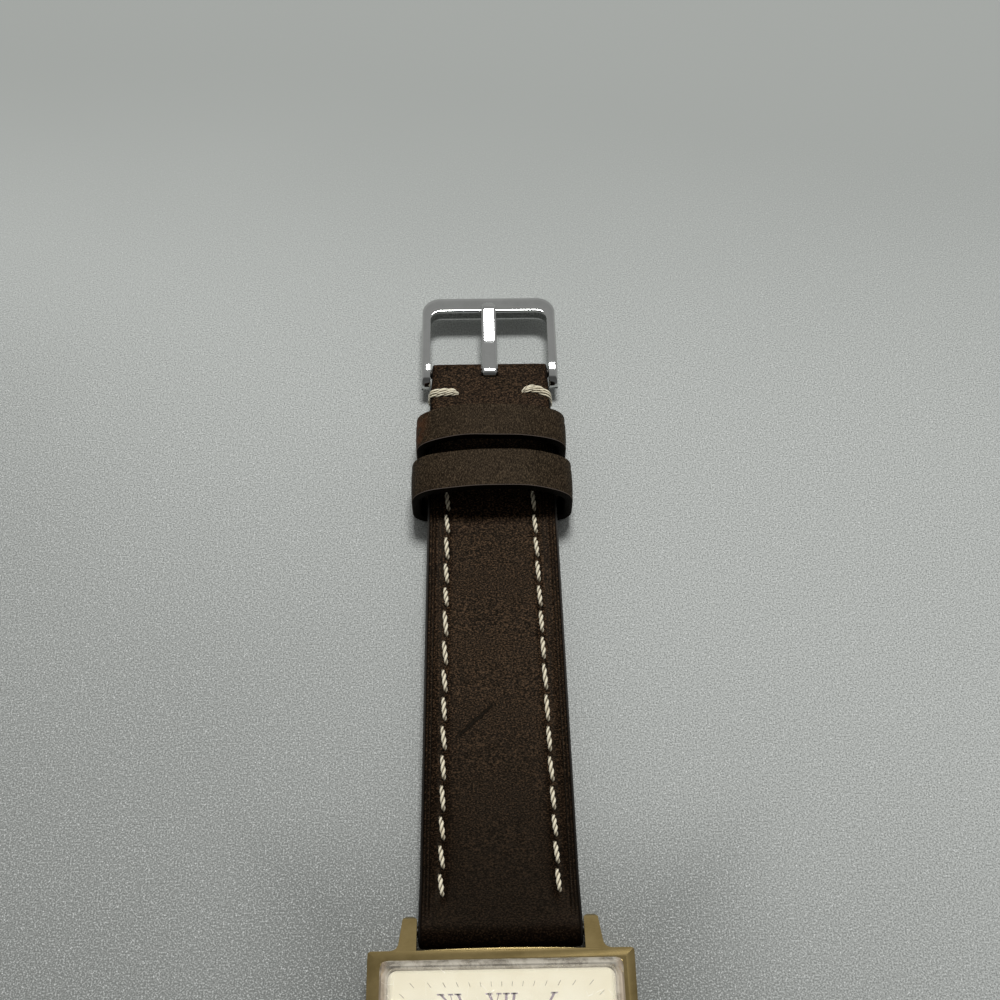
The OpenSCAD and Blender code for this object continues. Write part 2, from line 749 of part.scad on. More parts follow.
module bridge_blank(outline, feet) {
    translate([0, 0, bridge_z]) linear_extrude(bridge_t) difference() {
        intersection() {
            circle(bridge_edge, $fn = 96);
            polygon(outline);
        }
        translate(balance_at) circle(balance_clear);
    }
    for (p = feet) put(p, bridge_top) cylinder(r = foot_r, h = plate_z - bridge_top);
}

module barrel_bridge() {
    outline = [[-3.2, plate_r], [-1.95, 0.6], [0.3, -1.65], [2.6, -2.2], [7, -3.3], [plate_r, -3.3],
        [plate_r, plate_r]];
    color(nickel) difference() {
        bridge_blank(outline, barrel_feet);
        put(barrel_at, bridge_z - cut) cylinder(r = ratchet_r + sink_gap, h = winding_sink + cut);
        put(crown_wheel_at, bridge_z - cut) cylinder(r = crown_wheel_r + sink_gap, h = winding_sink + cut);
        put(click_at, bridge_z - cut) cylinder(r = 1.05, h = winding_sink + cut);
        translate([click_at[0] - 0.3, click_at[1], bridge_z - cut]) cube([3.2, 2, winding_sink + cut]);
        put(barrel_at, bridge_z) cylinder(r = hub_r + slip, h = bridge_t + cut);
        translate([0, 0, bridge_z - cut]) cylinder(r = centre_r + slip, h = bridge_t + 2 * cut);
        translate([pinion_x - play, -1.25, bridge_z + winding_sink - play])
            cube([pinion_len + 2 * play, 2.5, bridge_t]);
        translate([clutch_x - clutch_travel - play, -0.8, stem_z - clutch_top - slip])
            cube([clutch_len + clutch_travel + 2 * play, 1.6, bridge_t]);
        put(crown_wheel_at, bridge_z) cylinder(r = screw_r + fit, h = core_top - bridge_z + play);
        for (p = barrel_feet) screw_hole(p, bridge_z, plate_z);
    }
}

module train_bridge() {
    outline = [[-plate_r, 3.9], [-2.9, 3.9], [-2.3, 0.6], [-0.05, -1.7], [-1.1, -3], [-1.3, -6.6],
        [-2, -plate_r], [-plate_r, -plate_r]];
    color(nickel) difference() {
        bridge_blank(outline, train_feet);
        for (p = [third_at, fourth_at, escape_at]) bridge_jewel_seat(p, bridge_z, bridge_top);
        for (p = train_feet) screw_hole(p, bridge_z, plate_z);
    }
}

module pallet_bridge() {
    a = pallet_feet[0];
    b = pallet_feet[1];
    color(nickel) difference() {
        union() {
            translate([0, 0, pallet_bridge_z]) linear_extrude(pallet_bridge_t) {
                for (p = [a, b]) translate(p) circle(pallet_foot_r);
                translate(pallet_at) circle(0.55);
                polygon([[a[0] - 0.3, a[1]], [a[0] + 0.3, a[1]], [b[0] + 0.3, b[1]], [b[0] - 0.3, b[1]]]);
            }
            for (p = [a, b]) put(p, pallet_bridge_z + pallet_bridge_t)
                cylinder(r = pallet_foot_r, h = plate_z - pallet_bridge_z - pallet_bridge_t);
        }
        for (p = [a, b]) put(p, pallet_bridge_z - cut) cylinder(r = small_screw_r + fit, h = 2 * bridge_t);
        put(pallet_at, pallet_bridge_z - cut) cylinder(r = pallet_jewel_r, h = pallet_bridge_t + 2 * cut);
    }
}

module balance_cock() {
    color(nickel) difference() {
        union() {
            translate([0, 0, bridge_z]) linear_extrude(cock_t) {
                translate(balance_at) circle(1.1);
                translate(cock_foot) circle(1);
                polygon([[balance_at[0], balance_at[1] - 0.85], [cock_foot[0], cock_foot[1] - 1],
                    [cock_foot[0], cock_foot[1] + 1], [balance_at[0], balance_at[1] + 0.85]]);
            }
            put(cock_foot, bridge_z) cylinder(r = foot_r, h = plate_z - bridge_z);
        }
        put(balance_at, bridge_z - cut) cylinder(r = jewel_r, h = cock_t + 2 * cut);
        screw_hole(cock_foot, bridge_z, plate_z);
    }
}

module slotted_screw(at, z, end_z, head_r = screw_head_r) {
    put(at, z) difference() {
        union() {
            cylinder(r = head_r, h = screw_head_t);
            cylinder(r = screw_r, h = end_z - z);
        }
        translate([-head_r, -slot_w / 2, -cut]) cube([2 * head_r, slot_w, cut + slot_w]);
    }
}

module movement_screws() {
    color([0.35, 0.4, 0.62]) {
        for (p = concat(barrel_feet, train_feet, [cock_foot])) slotted_screw(p, bridge_z + slip, screw_end_z);
        for (p = pallet_feet) put(p, pallet_bridge_z - small_head_t) {
            cylinder(r = small_head_r, h = small_head_t);
            cylinder(r = small_screw_r, h = screw_end_z - pallet_bridge_z);
        }
    }
}

module jewel(at, z, r = jewel_r, t = jewel_t) {
    put(at, z) difference() {
        cylinder(r = r - fit, h = t);
        translate([0, 0, -cut]) cylinder(r = pivot_r + fit, h = t + 2 * cut);
    }
}

module jewels() {
    color(ruby) {
        for (p = [third_at, fourth_at, escape_at, pallet_at, balance_at]) jewel(p, plate_jewel_z);
        for (p = [third_at, fourth_at, escape_at]) jewel(p, bridge_jewel_z);
        jewel(pallet_at, pallet_bridge_z, pallet_jewel_r, pallet_bridge_t);
        jewel(balance_at, bridge_z + slip, jewel_r, cock_t - 2 * slip);
    }
}

// Winding and setting work
module crown() {
    step = 360 / crown_flutes;
    color(gold) difference() {
        intersection() {
            translate([crown_x, 0, stem_z]) rotate([0, 90, 0]) linear_extrude(crown_len) polygon([
                for (i = [0 : crown_flutes - 1]) each [
                    polar(crown_r, (i - 0.3) * step), polar(crown_r, (i + 0.1) * step),
                    polar(crown_r - flute_d, (i + 0.3) * step), polar(crown_r - flute_d, (i + 0.5) * step)
                ]
            ]);
            translate([crown_x, 0, stem_z]) rotate([0, 90, 0]) rotate_extrude() polygon([
                [0, 0], [crown_r - 0.15, 0], [crown_r, 0.25], [crown_r, crown_len - 0.45],
                [crown_r - 0.25, crown_len - 0.12], [crown_r * 0.5, crown_len - 0.02], [0, crown_len]
            ]);
        }
        rod_x(tube_r + 0.2, crown_x - cut, crown_x + crown_recess, z = stem_z);
        rod_x(stem_r, crown_x, crown_x + crown_len - 0.4, z = stem_z);
    }
}

module winding_stem() {
    groove_0 = groove_x - groove_w / 2;
    groove_1 = groove_x + groove_w / 2;
    square_end = pinion_x - slip;
    color(steel) {
        rod_x(0.22, stem_inner_x, clutch_x - clutch_travel, z = stem_z);
        translate([clutch_x - clutch_travel, -square_w / 2, stem_z - square_w / 2])
            cube([square_end - clutch_x + clutch_travel, square_w, square_w]);
        rod_x(stem_r - 0.02, square_end, groove_0, z = stem_z);
        rod_x(groove_r, groove_0, groove_1, z = stem_z);
        rod_x(stem_r - fit, groove_1, crown_x + crown_len - 0.4, z = stem_z);
    }
}

module winding_pinion() {
    color(steel) difference() {
        translate([pinion_x, 0, stem_z]) rotate([0, 90, 0]) pinion(winding_module, winding_teeth, pinion_len);
        rod_x(stem_r + fit, pinion_x - cut, pinion_x + pinion_len + cut, z = stem_z);
    }
}

module clutch_wheel() {
    hole = square_w + 2 * 0.03;
    color(steel) difference() {
        union() {
            translate([clutch_x, 0, stem_z]) rotate([0, 90, 0]) linear_extrude(clutch_end)
                gear_outline(clutch_module, clutch_teeth);
            rod_x(0.62, clutch_x + clutch_end, clutch_x + clutch_len - clutch_end, z = stem_z);
            translate([clutch_x + clutch_len - clutch_end, 0, stem_z]) rotate([0, 90, 0])
                linear_extrude(clutch_end) gear_outline(clutch_module, clutch_teeth);
        }
        translate([clutch_x - cut, -hole / 2, stem_z - hole / 2]) cube([clutch_len + 2 * cut, hole, hole]);
    }
}

module crown_wheel() {
    color(steel) put(crown_wheel_at, winding_z) difference() {
        linear_extrude(winding_t) gear_outline(winding_module, crown_wheel_teeth,
            mesh(ratchet_teeth, crown_wheel_teeth, crown_wheel_angle));
        translate([0, 0, -cut]) cylinder(r = core_r, h = winding_t + 2 * cut);
    }
}

module crown_wheel_core() {
    color([0.35, 0.4, 0.62]) put(crown_wheel_at, bridge_z + slip) difference() {
        union() {
            cylinder(r = core_r - slip, h = winding_sink - slip);
            cylinder(r = screw_r, h = core_top - bridge_z - slip);
        }
        translate([-core_r, -slot_w / 2, -cut]) cube([2 * core_r, slot_w, cut + slot_w]);
    }
}

module ratchet_wheel() {
    hole = barrel_square_w + 2 * fit;
    color(steel) put(barrel_at, winding_z) difference() {
        linear_extrude(winding_t) gear_outline(winding_module, ratchet_teeth);
        translate([0, 0, winding_t / 2]) cube([hole, hole, 2 * winding_t], center = true);
    }
}

module ratchet_screw() {
    color([0.35, 0.4, 0.62]) put(barrel_at, winding_z - 0.2) difference() {
        cylinder(r = 0.85, h = 0.2);
        translate([-1, -0.07, -cut]) cube([2, 0.14, cut + 0.1]);
    }
}

module click() {
    toward = barrel_at - click_at;
    beak = toward * (1 - (ratchet_r + 0.22) / norm(toward));
    side = [-toward[1], toward[0]] / norm(toward) * 0.4;
    color(steel) put(click_at, winding_z) linear_extrude(winding_t - play) difference() {
        union() {
            circle(0.5);
            polygon([side, beak + side * 0.2, beak - side * 0.2, -side]);
        }
        circle(0.2);
    }
    color(steel) put(click_at, winding_z) cylinder(r = 0.2, h = winding_sink - 0.08);
}

module click_spring() {
    color(steel) put(click_at, winding_z) linear_extrude(0.15)
        polygon([[0, 0.58], [0.5, 0.75], [1.6, 1.35], [2.7, 1.7], [2.7, 1.82], [1.55, 1.48], [0.45, 0.88],
            [0, 0.72]]);
}

// Barrel
module barrel_drum() {
    color(brass) put(barrel_at, barrel_z) difference() {
        union() {
            translate([0, 0, 0.1]) cylinder(r = drum_r, h = barrel_h - 0.1);
            translate([0, 0, barrel_h - 0.5]) pinion(barrel_module, barrel_teeth, 0.4);
        }
        translate([0, 0, -cut]) cylinder(r = drum_r - drum_wall, h = barrel_h - barrel_floor + cut);
        cylinder(r = arbor_top_r + slip, h = barrel_h + cut);
    }
}

module barrel_lid() {
    color(brass) put(barrel_at, barrel_z) difference() {
        cylinder(r = drum_r - drum_wall - fit, h = barrel_floor);
        translate([0, 0, -cut]) cylinder(r = hub_r + slip, h = 1 + cut);
    }
}

module barrel_arbor() {
    top = barrel_z + barrel_h;
    color(steel) put(barrel_at, 0) {
        arbor([[hub_r, winding_z + winding_t + slip, barrel_z + barrel_floor + slip],
            [hook_r, barrel_z + barrel_floor + slip, top - barrel_floor - slip],
            [arbor_top_r, top - barrel_floor - slip, works_z - slip]]);
        translate([-barrel_square_w / 2, -barrel_square_w / 2, winding_z])
            cube([barrel_square_w, barrel_square_w, winding_t + slip]);
    }
}

// A flat spiral strip: its radius grows evenly with the angle
module spiral(r0, r1, turns, t, h, start = 0) {
    steps = turns * 16;
    function radius(i) = r0 + (r1 - r0) * i / steps;
    linear_extrude(h) polygon(concat(
        [for (i = [0 : steps]) polar(radius(i), start + i * 22.5)],
        [for (i = [steps : -1 : 0]) polar(radius(i) + t, start + i * 22.5)]
    ));
}

module mainspring() {
    color([0.55, 0.57, 0.6]) put(barrel_at, barrel_z + barrel_floor + 0.08)
        spiral(hook_r + 0.08, drum_r - drum_wall - 0.17, 8, 0.1, barrel_h - 2 * (barrel_floor + 0.08));
}

// Going train
module centre_wheel() {
    color(brass) {
        translate([0, 0, centre_wheel_z]) spoked_wheel(centre_module, centre_teeth, 0.5, 0.8, 5);
        arbor([[centre_r, bridge_z + play, works_z - play], [slim_centre_r, works_z - play, minute_hand_z]]);
        translate([0, 0, barrel_sink_z - slip - centre_pinion_h])
            pinion(barrel_module, centre_pinion_teeth, centre_pinion_h,
                mesh(barrel_teeth, centre_pinion_teeth, barrel_angle + 180));
    }
}

module train_arbor(from_z, to_z) {
    arbor([[pivot_r, from_z + 0.05, from_z + jewel_t + slip], [arbor_r, from_z + jewel_t + slip, to_z - slip],
        [pivot_r, to_z - slip, to_z + jewel_t - 0.05]]);
}

module third_wheel() {
    color(brass) put(third_at, 0) {
        translate([0, 0, third_wheel_z]) spoked_wheel(third_module, third_teeth, 0.45, 0.7, 5);
        translate([0, 0, centre_wheel_z - slip])
            pinion(centre_module, third_pinion_teeth, third_wheel_z - centre_wheel_z + slip,
                mesh(centre_teeth, third_pinion_teeth, third_angle));
        train_arbor(bridge_jewel_z, plate_jewel_z);
    }
}

module fourth_wheel() {
    color(brass) put(fourth_at, 0) {
        translate([0, 0, fourth_wheel_z]) spoked_wheel(fourth_module, fourth_teeth, 0.4, 0.6, 5);
        translate([0, 0, third_wheel_z - slip])
            pinion(third_module, fourth_pinion_teeth, fourth_wheel_z - third_wheel_z + slip,
                mesh(third_teeth, fourth_pinion_teeth, fourth_angle));
        train_arbor(bridge_jewel_z, plate_jewel_z);
    }
}

// Each tooth of the escape wheel leans forward to a narrow club
module escape_outline() {
    step = 360 / escape_teeth;
    root = escape_r - 0.45;
    polygon([for (i = [0 : escape_teeth - 1]) each [
        polar(root, i * step), polar(escape_r - 0.08, (i + 0.42) * step), polar(escape_r, (i + 0.6) * step),
        polar(escape_r - 0.16, (i + 0.6) * step), polar(root, (i + 0.45) * step)
    ]]);
}

module escape_wheel() {
    color(steel) put(escape_at, 0) {
        translate([0, 0, escape_wheel_z]) linear_extrude(wheel_t) {
            difference() {
                escape_outline();
                circle(escape_r - 0.7);
            }
            circle(0.4);
            for (i = [0 : 3]) rotate(i * 90) translate([0, -0.1]) square([escape_r - 0.65, 0.2]);
        }
        translate([0, 0, plate_z - 0.1])
            pinion(fourth_module, escape_pinion_teeth, fourth_sink_z - plate_z + 0.05,
                mesh(fourth_teeth, escape_pinion_teeth, escape_angle));
        train_arbor(bridge_jewel_z, plate_jewel_z);
    }
}

// The fork points along its own x axis to the balance; its arms reach back to the escape wheel
module pallet_fork() {
    arm = escape_r * tan(30);
    fork_len = fork_to_balance - 0.45;
    back = pallet_angle - balance_angle + 180;
    color(steel) put(pallet_at, 0) {
        translate([0, 0, escape_wheel_z]) linear_extrude(wheel_t) rotate(balance_angle) {
            circle(0.3);
            polygon([[0, -0.2], [fork_len - 0.45, -0.11], [fork_len - 0.3, -0.3], [fork_len, -0.24],
                [fork_len, -0.1], [fork_len - 0.25, -0.1], [fork_len - 0.25, 0.1], [fork_len, 0.1],
                [fork_len, 0.24], [fork_len - 0.3, 0.3], [fork_len - 0.45, 0.11], [0, 0.2]]);
            for (s = [-1, 1]) rotate(back + s * pallet_spread)
                translate([0, -pallet_w / 2]) square([arm + 0.12, pallet_w]);
        }
        arbor([[pivot_r, pallet_bridge_z + slip, escape_wheel_z],
            [0.14, escape_wheel_z, plate_jewel_z - slip],
            [pivot_r, plate_jewel_z - slip, plate_jewel_z + jewel_t - slip]]);
    }
}

module balance_wheel() {
    roller_z = escape_wheel_z + wheel_t + 0.1;
    color(brass) put(balance_at, 0) {
        translate([0, 0, balance_z]) linear_extrude(balance_t) {
            difference() {
                circle(balance_r);
                circle(balance_r - 0.4);
            }
            circle(0.6);
            for (i = [0 : 2]) rotate(i * 120) translate([0, -0.2]) square([balance_r - 0.3, 0.4]);
        }
        arbor([[pivot_r, bridge_z + play, hairspring_z - 0.02], [0.38, hairspring_z, balance_z],
            [pivot_r, hairspring_z - 0.02, hairspring_z], [0.2, balance_z + balance_t, roller_z],
            [0.55, roller_z, roller_z + 0.15], [0.16, roller_z + 0.15, plate_jewel_z - slip],
            [pivot_r, plate_jewel_z - slip, plate_jewel_z + jewel_t - 0.05]]);
        rotate(balance_angle + 180) translate([0.42, 0, roller_z - 0.07]) cylinder(r = 0.07, h = 0.07);
    }
}

module hairspring() {
    color([0.25, 0.3, 0.55]) put(balance_at, hairspring_z)
        spiral(0.43, 1.9, 9, 0.05, 0.12);
    color([0.25, 0.3, 0.55]) translate([balance_at[0] + 2.05, balance_at[1], bridge_z + cock_t])
        cylinder(r = 0.15, h = 0.17);
}

// Keyless work under the dial
module setting_lever() {
    post = [groove_x, lever_post_y];
    side = [0.22, 0];
    color(steel) {
        translate([0, 0, lever_z]) linear_extrude(lever_t) {
            translate(lever_pivot) circle(0.4);
            translate(post) circle(0.28);
            polygon([lever_pivot - side * 1.4, post - side, post + side, lever_pivot + side * 1.2]);
            polygon([lever_pivot + [0, 0.35], lever_pivot + [-1.5, 0.25], lever_pivot + [-1.5, -0.05],
                lever_pivot + [0, -0.3]]);
        }
        put(post, stem_z + 0.02) cylinder(r = lever_post_r, h = lever_z - stem_z);
        put(lever_pivot, works_z + fit) cylinder(r = 0.25, h = slip);
    }
}

module yoke() {
    tip = [yoke_groove_x, 0];
    tab_z = stem_z + 0.78;
    color(steel) {
        translate([0, 0, lever_z]) linear_extrude(lever_t) {
            translate(yoke_pivot) circle(0.42);
            polygon([yoke_pivot - [0.3, 0], tip - [0.14, 0.2], tip + [0.14, -0.2], yoke_pivot + [0.35, 0]]);
        }
        translate([tip[0] - yoke_tab / 2, tip[1] - 0.2, tab_z]) cube([yoke_tab, 0.4, lever_z - tab_z + 0.01]);
        put(yoke_pivot, works_z + fit) cylinder(r = 0.25, h = slip);
    }
}

module setting_spring() {
    z = lever_z + lever_t + 0.03;
    color(steel) translate([0, 0, z]) linear_extrude(dial_z - z - 0.02) {
        polygon([[yoke_pivot[0] - 0.5, yoke_pivot[1] - 0.3], [lever_pivot[0] - 0.9, lever_pivot[1] - 0.5],
            [lever_pivot[0] - 0.5, lever_pivot[1] + 0.3], [yoke_pivot[0] + 1.2, yoke_pivot[1] + 0.5],
            [yoke_pivot[0] - 0.4, yoke_pivot[1] + 0.6]]);
    }
}

module setting_wheel() {
    color(steel) {
        put(setting_at, setting_z) linear_extrude(works_z + slip + works_t - setting_z)
            gear_outline(motion_module, setting_teeth,
                mesh(minute_teeth, setting_teeth, setting_angle, minute_shift));
        put(setting_at, setting_floor_z) cylinder(r = 0.3, h = works_z + 0.3 - setting_floor_z);
    }
}

module minute_wheel() {
    color(brass) {
        put(minute_at, works_z + slip) linear_extrude(works_t)
            gear_outline(motion_module, minute_teeth, minute_shift);
        put(minute_at, works_z + fit)
            pinion(hour_module, minute_pinion_teeth, works_t + 0.32);
    }
}

module cannon_pinion() {
    color(steel) difference() {
        union() {
            translate([0, 0, works_z + slip]) pinion(motion_module, cannon_teeth, works_t + 0.04);
            translate([0, 0, works_z + slip]) cylinder(r = cannon_r, h = cannon_top - works_z - slip);
        }
        cylinder(r = slim_centre_r + 0.02, h = cannon_top + cut);
    }
}

module hour_wheel() {
    z = works_z + slip + works_t + 0.1;
    color(brass) difference() {
        union() {
            translate([0, 0, z]) linear_extrude(works_t) gear_outline(hour_module, hour_teeth,
                mesh(minute_pinion_teeth, hour_teeth, minute_angle + 180));
            translate([0, 0, z]) cylinder(r = hour_pipe_r, h = hour_hand_z + hand_t + 0.03 - z);
        }
        translate([0, 0, z - cut]) cylinder(r = cannon_r + slip, h = hour_hand_z);
    }
}

// A tapered hand with a short tail, pointing to twelve before it is turned
module hand_outline(length, width, hole_r, tail) {
    difference() {
        union() {
            circle(hole_r + 0.35);
            polygon([[-width * 0.3, -tail], [width * 0.3, -tail], [width / 2, length * 0.2],
                [0.06, length], [-0.06, length], [-width / 2, length * 0.2]]);
        }
        circle(hole_r);
    }
}

module hour_hand() {
    color([0.25, 0.22, 0.2]) translate([0, 0, hour_hand_z]) rotate(-hour_hand_angle)
        linear_extrude(hand_t) hand_outline(hour_hand_len, 0.95, hour_pipe_r + fit, 1.5);
}

module minute_hand() {
    color([0.25, 0.22, 0.2]) translate([0, 0, minute_hand_z]) rotate(-minute_hand_angle)
        linear_extrude(hand_t) hand_outline(minute_hand_len, 0.8, cannon_r + fit, 2);
}

// Spring bars
module spring_bar_tube(half, y, z) {
    difference() {
        rod_x(bar_r, -half, half, y, z);
        rod_x(bar_pin_r + fit, -half - cut, -half + 3, y, z);
        rod_x(bar_pin_r + fit, half - 3, half + cut, y, z);
    }
}

module spring_bar_pins(half, out, y, z) {
    for (s = [0, 1]) mirror([s, 0, 0]) {
        rod_x(bar_pin_r, half - 2.9, half + out, y, z);
        rod_x(bar_pin_r + 0.22, half + 0.02, half + 0.16, y, z);
    }
}

module lug_bars() {
    color(steel) for (s = [-1, 1]) spring_bar_tube(lug_bar_half, s * bar_y, bar_z);
}

module lug_bar_pins() {
    color(steel) for (s = [-1, 1]) spring_bar_pins(lug_bar_half, bar_gap + bar_pin_depth, s * bar_y, bar_z);
}

module buckle_bar() {
    color(steel) spring_bar_tube(buckle_bar_half, buckle_y, buckle_bar_z);
}

module buckle_bar_pins() {
    color(steel) spring_bar_pins(buckle_bar_half, bar_gap + bar_pin_depth, buckle_y, buckle_bar_z);
}

// Strap: each half is drawn along +Y with its lug bar's axis at the origin
module strap_plan(length, tip) {
    far = length - tip;
    half = strap_end_w / 2;
    bend = tip > 0 ? far : length - loop_neck;
    polygon(concat(
        [[strap_w / 2, 0], [-strap_w / 2, 0], [-half, bend]],
        tip > 0 ? [] : [[-loop_w / 2, length], [loop_w / 2, length]],
        [for (i = [1 : 7]) if (tip > 0) let (s = i / 8) [-half * (1 - pow(s, 2.2)), far + tip * s]],
        tip > 0 ? [[0, length]] : [],
        [for (i = [7 : -1 : 1]) if (tip > 0) let (s = i / 8) [half * (1 - pow(s, 2.2)), far + tip * s]],
        [[half, bend]]
    ));
}

// The crowned cross-section: flat in the middle, falling to the thin edges
module strap_section() {
    half = strap_w / 2;
    low = -roll_r;
    high = low + strap_t;
    polygon(concat(
        [[-half, low], [half, low]],
        [for (i = [8 : -1 : -8]) let (s = i / 8) [half * s, high - crown_drop * pow(abs(s), 3.5)]]
    ));
}

// The side view: full height at the lug, thinning past the padding; the leather folds under at the bars
module strap_side(length, fold) {
    low = -roll_r;
    high = low + strap_t;
    thin = low + strap_thin_t;
    middle = (high + thin) / 2;
    polygon(concat(
        [[0, low], [padding_start, low], [padding_start, low + lining_t]],
        fold > 0 ? [[length - fold, low + lining_t], [length - fold, low], [length, low]]
            : [[length, low + lining_t]],
        [[length, thin], [padding_len + padding_fade, thin], [padding_len, thin + 0.08],
         [padding_len * 0.6, middle], [padding_len * 0.3, high - 0.2], [padding_start, high], [0, high]]
    ));
}

module strap_top(length, tip, fold) {
    intersection() {
        translate([0, 0, -strap_t]) linear_extrude(2 * strap_t) strap_plan(length, tip);
        translate([0, length / 2, 0]) along_y(length + 1) strap_section();
        along_x(2 * strap_w) strap_side(length, fold);
    }
}

module buckle_strap_leather() {
    end = buckle_half_len;
    lift = buckle_bar_z - bar_z;
    loop_start = end - tongue_slot_len;
    color(brown) translate([0, bar_y, bar_z]) difference() {
        union() {
            strap_top(end, 0, fold_len);
            rod_x(roll_r, -strap_w / 2, strap_w / 2);
            rod_x(loop_r, -loop_w / 2, loop_w / 2, end, lift);
        }
        rod_x(bar_r + play, -strap_w, strap_w);
        rod_x(bar_r + slip, -strap_w, strap_w, end, lift);
        translate([-tongue_slot_w / 2, loop_start, -2 * roll_r])
            cube([tongue_slot_w, 2 * tongue_slot_len, 4 * roll_r]);
        for (sx = [0, 1]) mirror([sx, 0, 0]) stitch_row(stitch_count, buckle_half_taper, 0.01);
    }
}

module buckle_strap_lining() {
    from = padding_start;
    to = buckle_half_len - fold_len;
    color(olive_brown) translate([0, bar_y, strap_z]) linear_extrude(lining_t) difference() {
        strap_plan(buckle_half_len, 0);
        translate([-strap_w, -1]) square([2 * strap_w, from + 1]);
        translate([-strap_w, to]) square([2 * strap_w, buckle_half_len]);
    }
}

// Stitches along one edge, each a short bar that sinks into the leather's top
module stitch_row(count, taper, grow) {
    high = strap_t - roll_r;
    thin = strap_thin_t - roll_r;
    for (i = [0 : count - 1]) {
        y = stitch_start + i * stitch_pitch;
        x = (strap_w - taper * y) / 2 - stitch_margin;
        crowned = high - crown_drop * pow(x / (strap_w / 2), 3.5);
        side = lookup(y, [[0, high], [padding_start, high], [padding_len * 0.3, high - 0.2],
            [padding_len * 0.6, (high + thin) / 2], [padding_len, thin + 0.08],
            [padding_len + padding_fade, thin]]);
        top = min(crowned, side);
        translate([x - stitch_w / 2 - grow, y - stitch_len / 2 - grow, top - stitch_h - grow])
            cube([stitch_w + 2 * grow, stitch_len + 2 * grow, 2 * stitch_h + grow]);
    }
}

module buckle_strap_stitching() {
    color(cream) translate([0, bar_y, bar_z])
        for (sx = [0, 1]) mirror([sx, 0, 0]) stitch_row(stitch_count, buckle_half_taper, 0);
}

// The tail half is turned to point to six o'clock and tilted until its tip rests
module tail_place() {
    translate([0, -bar_y, bar_z]) rotate([tail_tilt, 0, 0]) mirror([0, 1, 0]) children();
}

module tail_holes() {
    for (i = [0 : hole_count - 1])
        translate([0, tail_half_len - hole_start - i * hole_pitch, -2 * strap_t])
            cylinder(r = hole_r, h = 4 * strap_t);
}

module tail_strap_leather() {
    color(brown) tail_place() difference() {
        union() {
            strap_top(tail_half_len, tip_len, 0);
            rod_x(roll_r, -strap_w / 2, strap_w / 2);
        }
        rod_x(bar_r + play, -strap_w, strap_w);
        tail_holes();
        for (sx = [0, 1]) mirror([sx, 0, 0]) stitch_row(tail_stitch_count, tail_taper, 0.01);
    }
}

module tail_strap_lining() {
    color(olive_brown) tail_place() difference() {
        translate([0, 0, -roll_r]) linear_extrude(lining_t) difference() {
            strap_plan(tail_half_len, tip_len);
            translate([-strap_w, -1]) square([2 * strap_w, padding_start + 1]);
        }
        tail_holes();
    }
}

module tail_strap_stitching() {
    color(cream) tail_place()
        for (sx = [0, 1]) mirror([sx, 0, 0]) stitch_row(tail_stitch_count, tail_taper, 0);
}

// A keeper is a leather band bent into a flat arch; z = 0 is the surface it rests on
module keeper_outline(w, h, foot_r) {
    polygon(concat(
        [for (a = [0 : 5 : 180]) [
            w / 2 * sign(cos(a)) * pow(abs(cos(a)), 2 / keeper_arch),
            h / 2 + h / 2 * pow(sin(a), 2 / keeper_arch)
        ]],
        [for (a = [180 : 15 : 270]) [foot_r - w / 2 + foot_r * cos(a), foot_r + foot_r * sin(a)]],
        [for (a = [270 : 15 : 360]) [w / 2 - foot_r + foot_r * cos(a), foot_r + foot_r * sin(a)]]
    ));
}

module keeper(w, h, length, low_t) {
    along_y(length) difference() {
        keeper_outline(w, h, keeper_foot_r);
        translate([0, low_t])
            keeper_outline(w - 2 * keeper_t, h - keeper_t - low_t, keeper_foot_r - keeper_t);
    }
}

module fixed_keeper() {
    color(olive_brown) translate([0, fixed_keeper_y, 0])
        keeper(fixed_keeper_w, fixed_keeper_h, fixed_keeper_len, strap_z);
}

module floating_keeper() {
    color(olive_brown) translate([0, loose_keeper_y, 0])
        keeper(loose_keeper_w, loose_keeper_h, loose_keeper_len, keeper_t);
}

// Buckle
module frame_outline() {
    inner_w = frame_w - 2 * arm_w;
    inner_r = frame_corner - 1;
    inner_end = frame_y - far_bar_w;
    start = buckle_y - arm_heel - heel_r;
    difference() {
        union() {
            translate([-frame_w / 2, start]) square([frame_w, frame_y - frame_corner - start]);
            translate([frame_corner - frame_w / 2, start])
                square([frame_w - 2 * frame_corner, frame_y - start]);
            for (s = [-1, 1])
                translate([s * (frame_w / 2 - frame_corner), frame_y - frame_corner]) circle(frame_corner);
        }
        translate([-inner_w / 2, start - 1]) square([inner_w, inner_end - inner_r - start + 1]);
        translate([inner_r - inner_w / 2, start]) square([inner_w - 2 * inner_r, inner_end - start]);
        for (s = [-1, 1]) translate([s * (inner_w / 2 - inner_r), inner_end - inner_r]) circle(inner_r);
    }
}

// The frame's side view: arms that bend down past the bar, and a far bar with a broad flat top
module frame_side() {
    y0 = buckle_y;
    low = buckle_bar_z - arm_end_r;
    heel = [y0 - arm_heel, low + heel_r];
    tangent = 2 * atan2(heel_r - arm_end_r, -arm_heel) - 270;
    translate([y0, buckle_bar_z]) circle(arm_end_r);
    translate(heel) circle(heel_r);
    polygon([
        [heel[0], low], [y0, low], [y0, buckle_bar_z], [y0, buckle_bar_z] + polar(arm_end_r, tangent),
        heel + polar(heel_r, tangent), heel
    ]);
    polygon([
        [y0, buckle_bar_z - arm_end_r], [y0 + arm_bend, frame_z + 0.1], [frame_y, frame_z],
        [frame_y, frame_top - 0.5], [frame_y - 0.35, frame_top - 0.12],
        [frame_y - far_bar_w + 0.4, frame_top], [frame_y - far_bar_w, frame_top - 0.35],
        [y0 + arm_bend, frame_top], [y0, buckle_bar_z + arm_end_r]
    ]);
}

